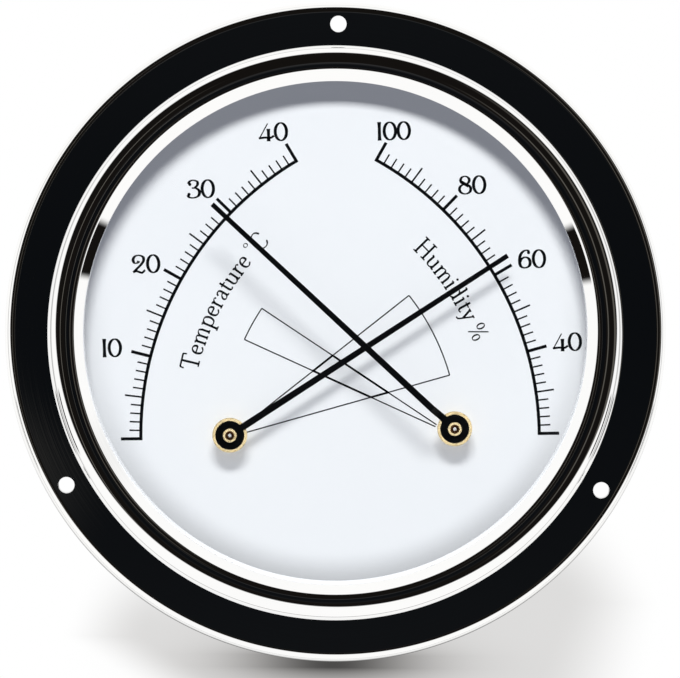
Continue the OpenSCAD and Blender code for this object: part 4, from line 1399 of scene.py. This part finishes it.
def lamp(name, kind, power, height, aside):
    """A light that shines on the dial from a height and aside, in degrees."""
    light = bpy.data.lights.new(name, kind)
    light.energy = power
    obj = bpy.data.objects.new(name, light)
    up, off = math.radians(height), math.radians(aside)
    away = Vector((math.sin(off) * math.cos(up), -math.cos(off) * math.cos(up),
                   math.sin(up)))
    obj.location = away * LAMP_DISTANCE
    obj.rotation_euler = away.to_track_quat("Z", "Y").to_euler()
    bpy.context.scene.collection.objects.link(obj)
    obj.visible_camera = False
    return obj


def softbox(name, watts, width):
    """A wide soft light above the camera, which the polished metal doesn't mirror."""
    obj = lamp(name, "AREA", watts, 56.5, -2.0)
    obj.data.shape = "RECTANGLE"
    obj.data.size = width
    obj.data.size_y = 0.75
    obj.visible_glossy = False
    return obj


def only(light, kind, objects, state):
    """Limits what a light falls on, or what blocks it, to or from the objects given."""
    group = bpy.data.collections.new(light.name + "_" + kind)
    for obj in objects:
        group.objects.link(obj)
    for held in group.collection_objects:
        held.light_linking.link_state = state
    setattr(light.light_linking, kind, group)


def studio():
    """Floor, dome and lights. Light reaches the dial past the bezel and the upper wall, as if
    they stood lower."""
    floor = bpy.data.objects.new("studio_floor", studio_floor())
    made = bmesh.new()
    bmesh.ops.create_icosphere(made, subdivisions=5, radius=8.0)
    dome = bpy.data.objects.new("studio_dome", mesh_of(made))
    for obj, material in ((floor, floor_material()), (dome, dome_material())):
        bpy.context.scene.collection.objects.link(obj)
        obj.data.materials.append(material)
        obj.visible_diffuse = False
        obj.visible_shadow = False
        obj.visible_transmission = False
        obj.visible_volume_scatter = False
    floor.visible_glossy = False
    dome.visible_camera = False
    keys = [softbox("key_light", 250.0, 2.4), softbox("key_light_wide", 184.0, 3.5)]
    for key in keys:
        only(key, "receiver_collection", [floor], "EXCLUDE")
    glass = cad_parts["glass"]
    rims = [bezel_piece, wall_high, flange_piece, case_piece, glass,
            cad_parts["glass_gasket"]]
    only(keys[0], "blocker_collection", rims, "EXCLUDE")
    only(keys[1], "blocker_collection", [wall_low], "INCLUDE")
    glow = lamp("hub_light", "SUN", 7.5, 14.0, 5.0)
    glow.data.angle = math.radians(60.0)
    only(glow, "receiver_collection", hubs, "INCLUDE")
    world = bpy.data.worlds.new("studio_fill")
    tree = Tree(world)
    fill = tree.node("ShaderNodeBackground")
    fill.inputs["Color"].default_value = (0.86, 0.88, 1.0, 1.0)
    fill.inputs["Strength"].default_value = 0.31
    tree.out(fill, "ShaderNodeOutputWorld")
    world.cycles_visibility.glossy = False
    world.cycles_visibility.camera = False
    bpy.context.scene.world = world
    for obj in (*rims, wall_low):
        obj.visible_diffuse = False
    glass.visible_shadow = False


studio()
bpy.context.scene.view_settings.view_transform = "Standard"
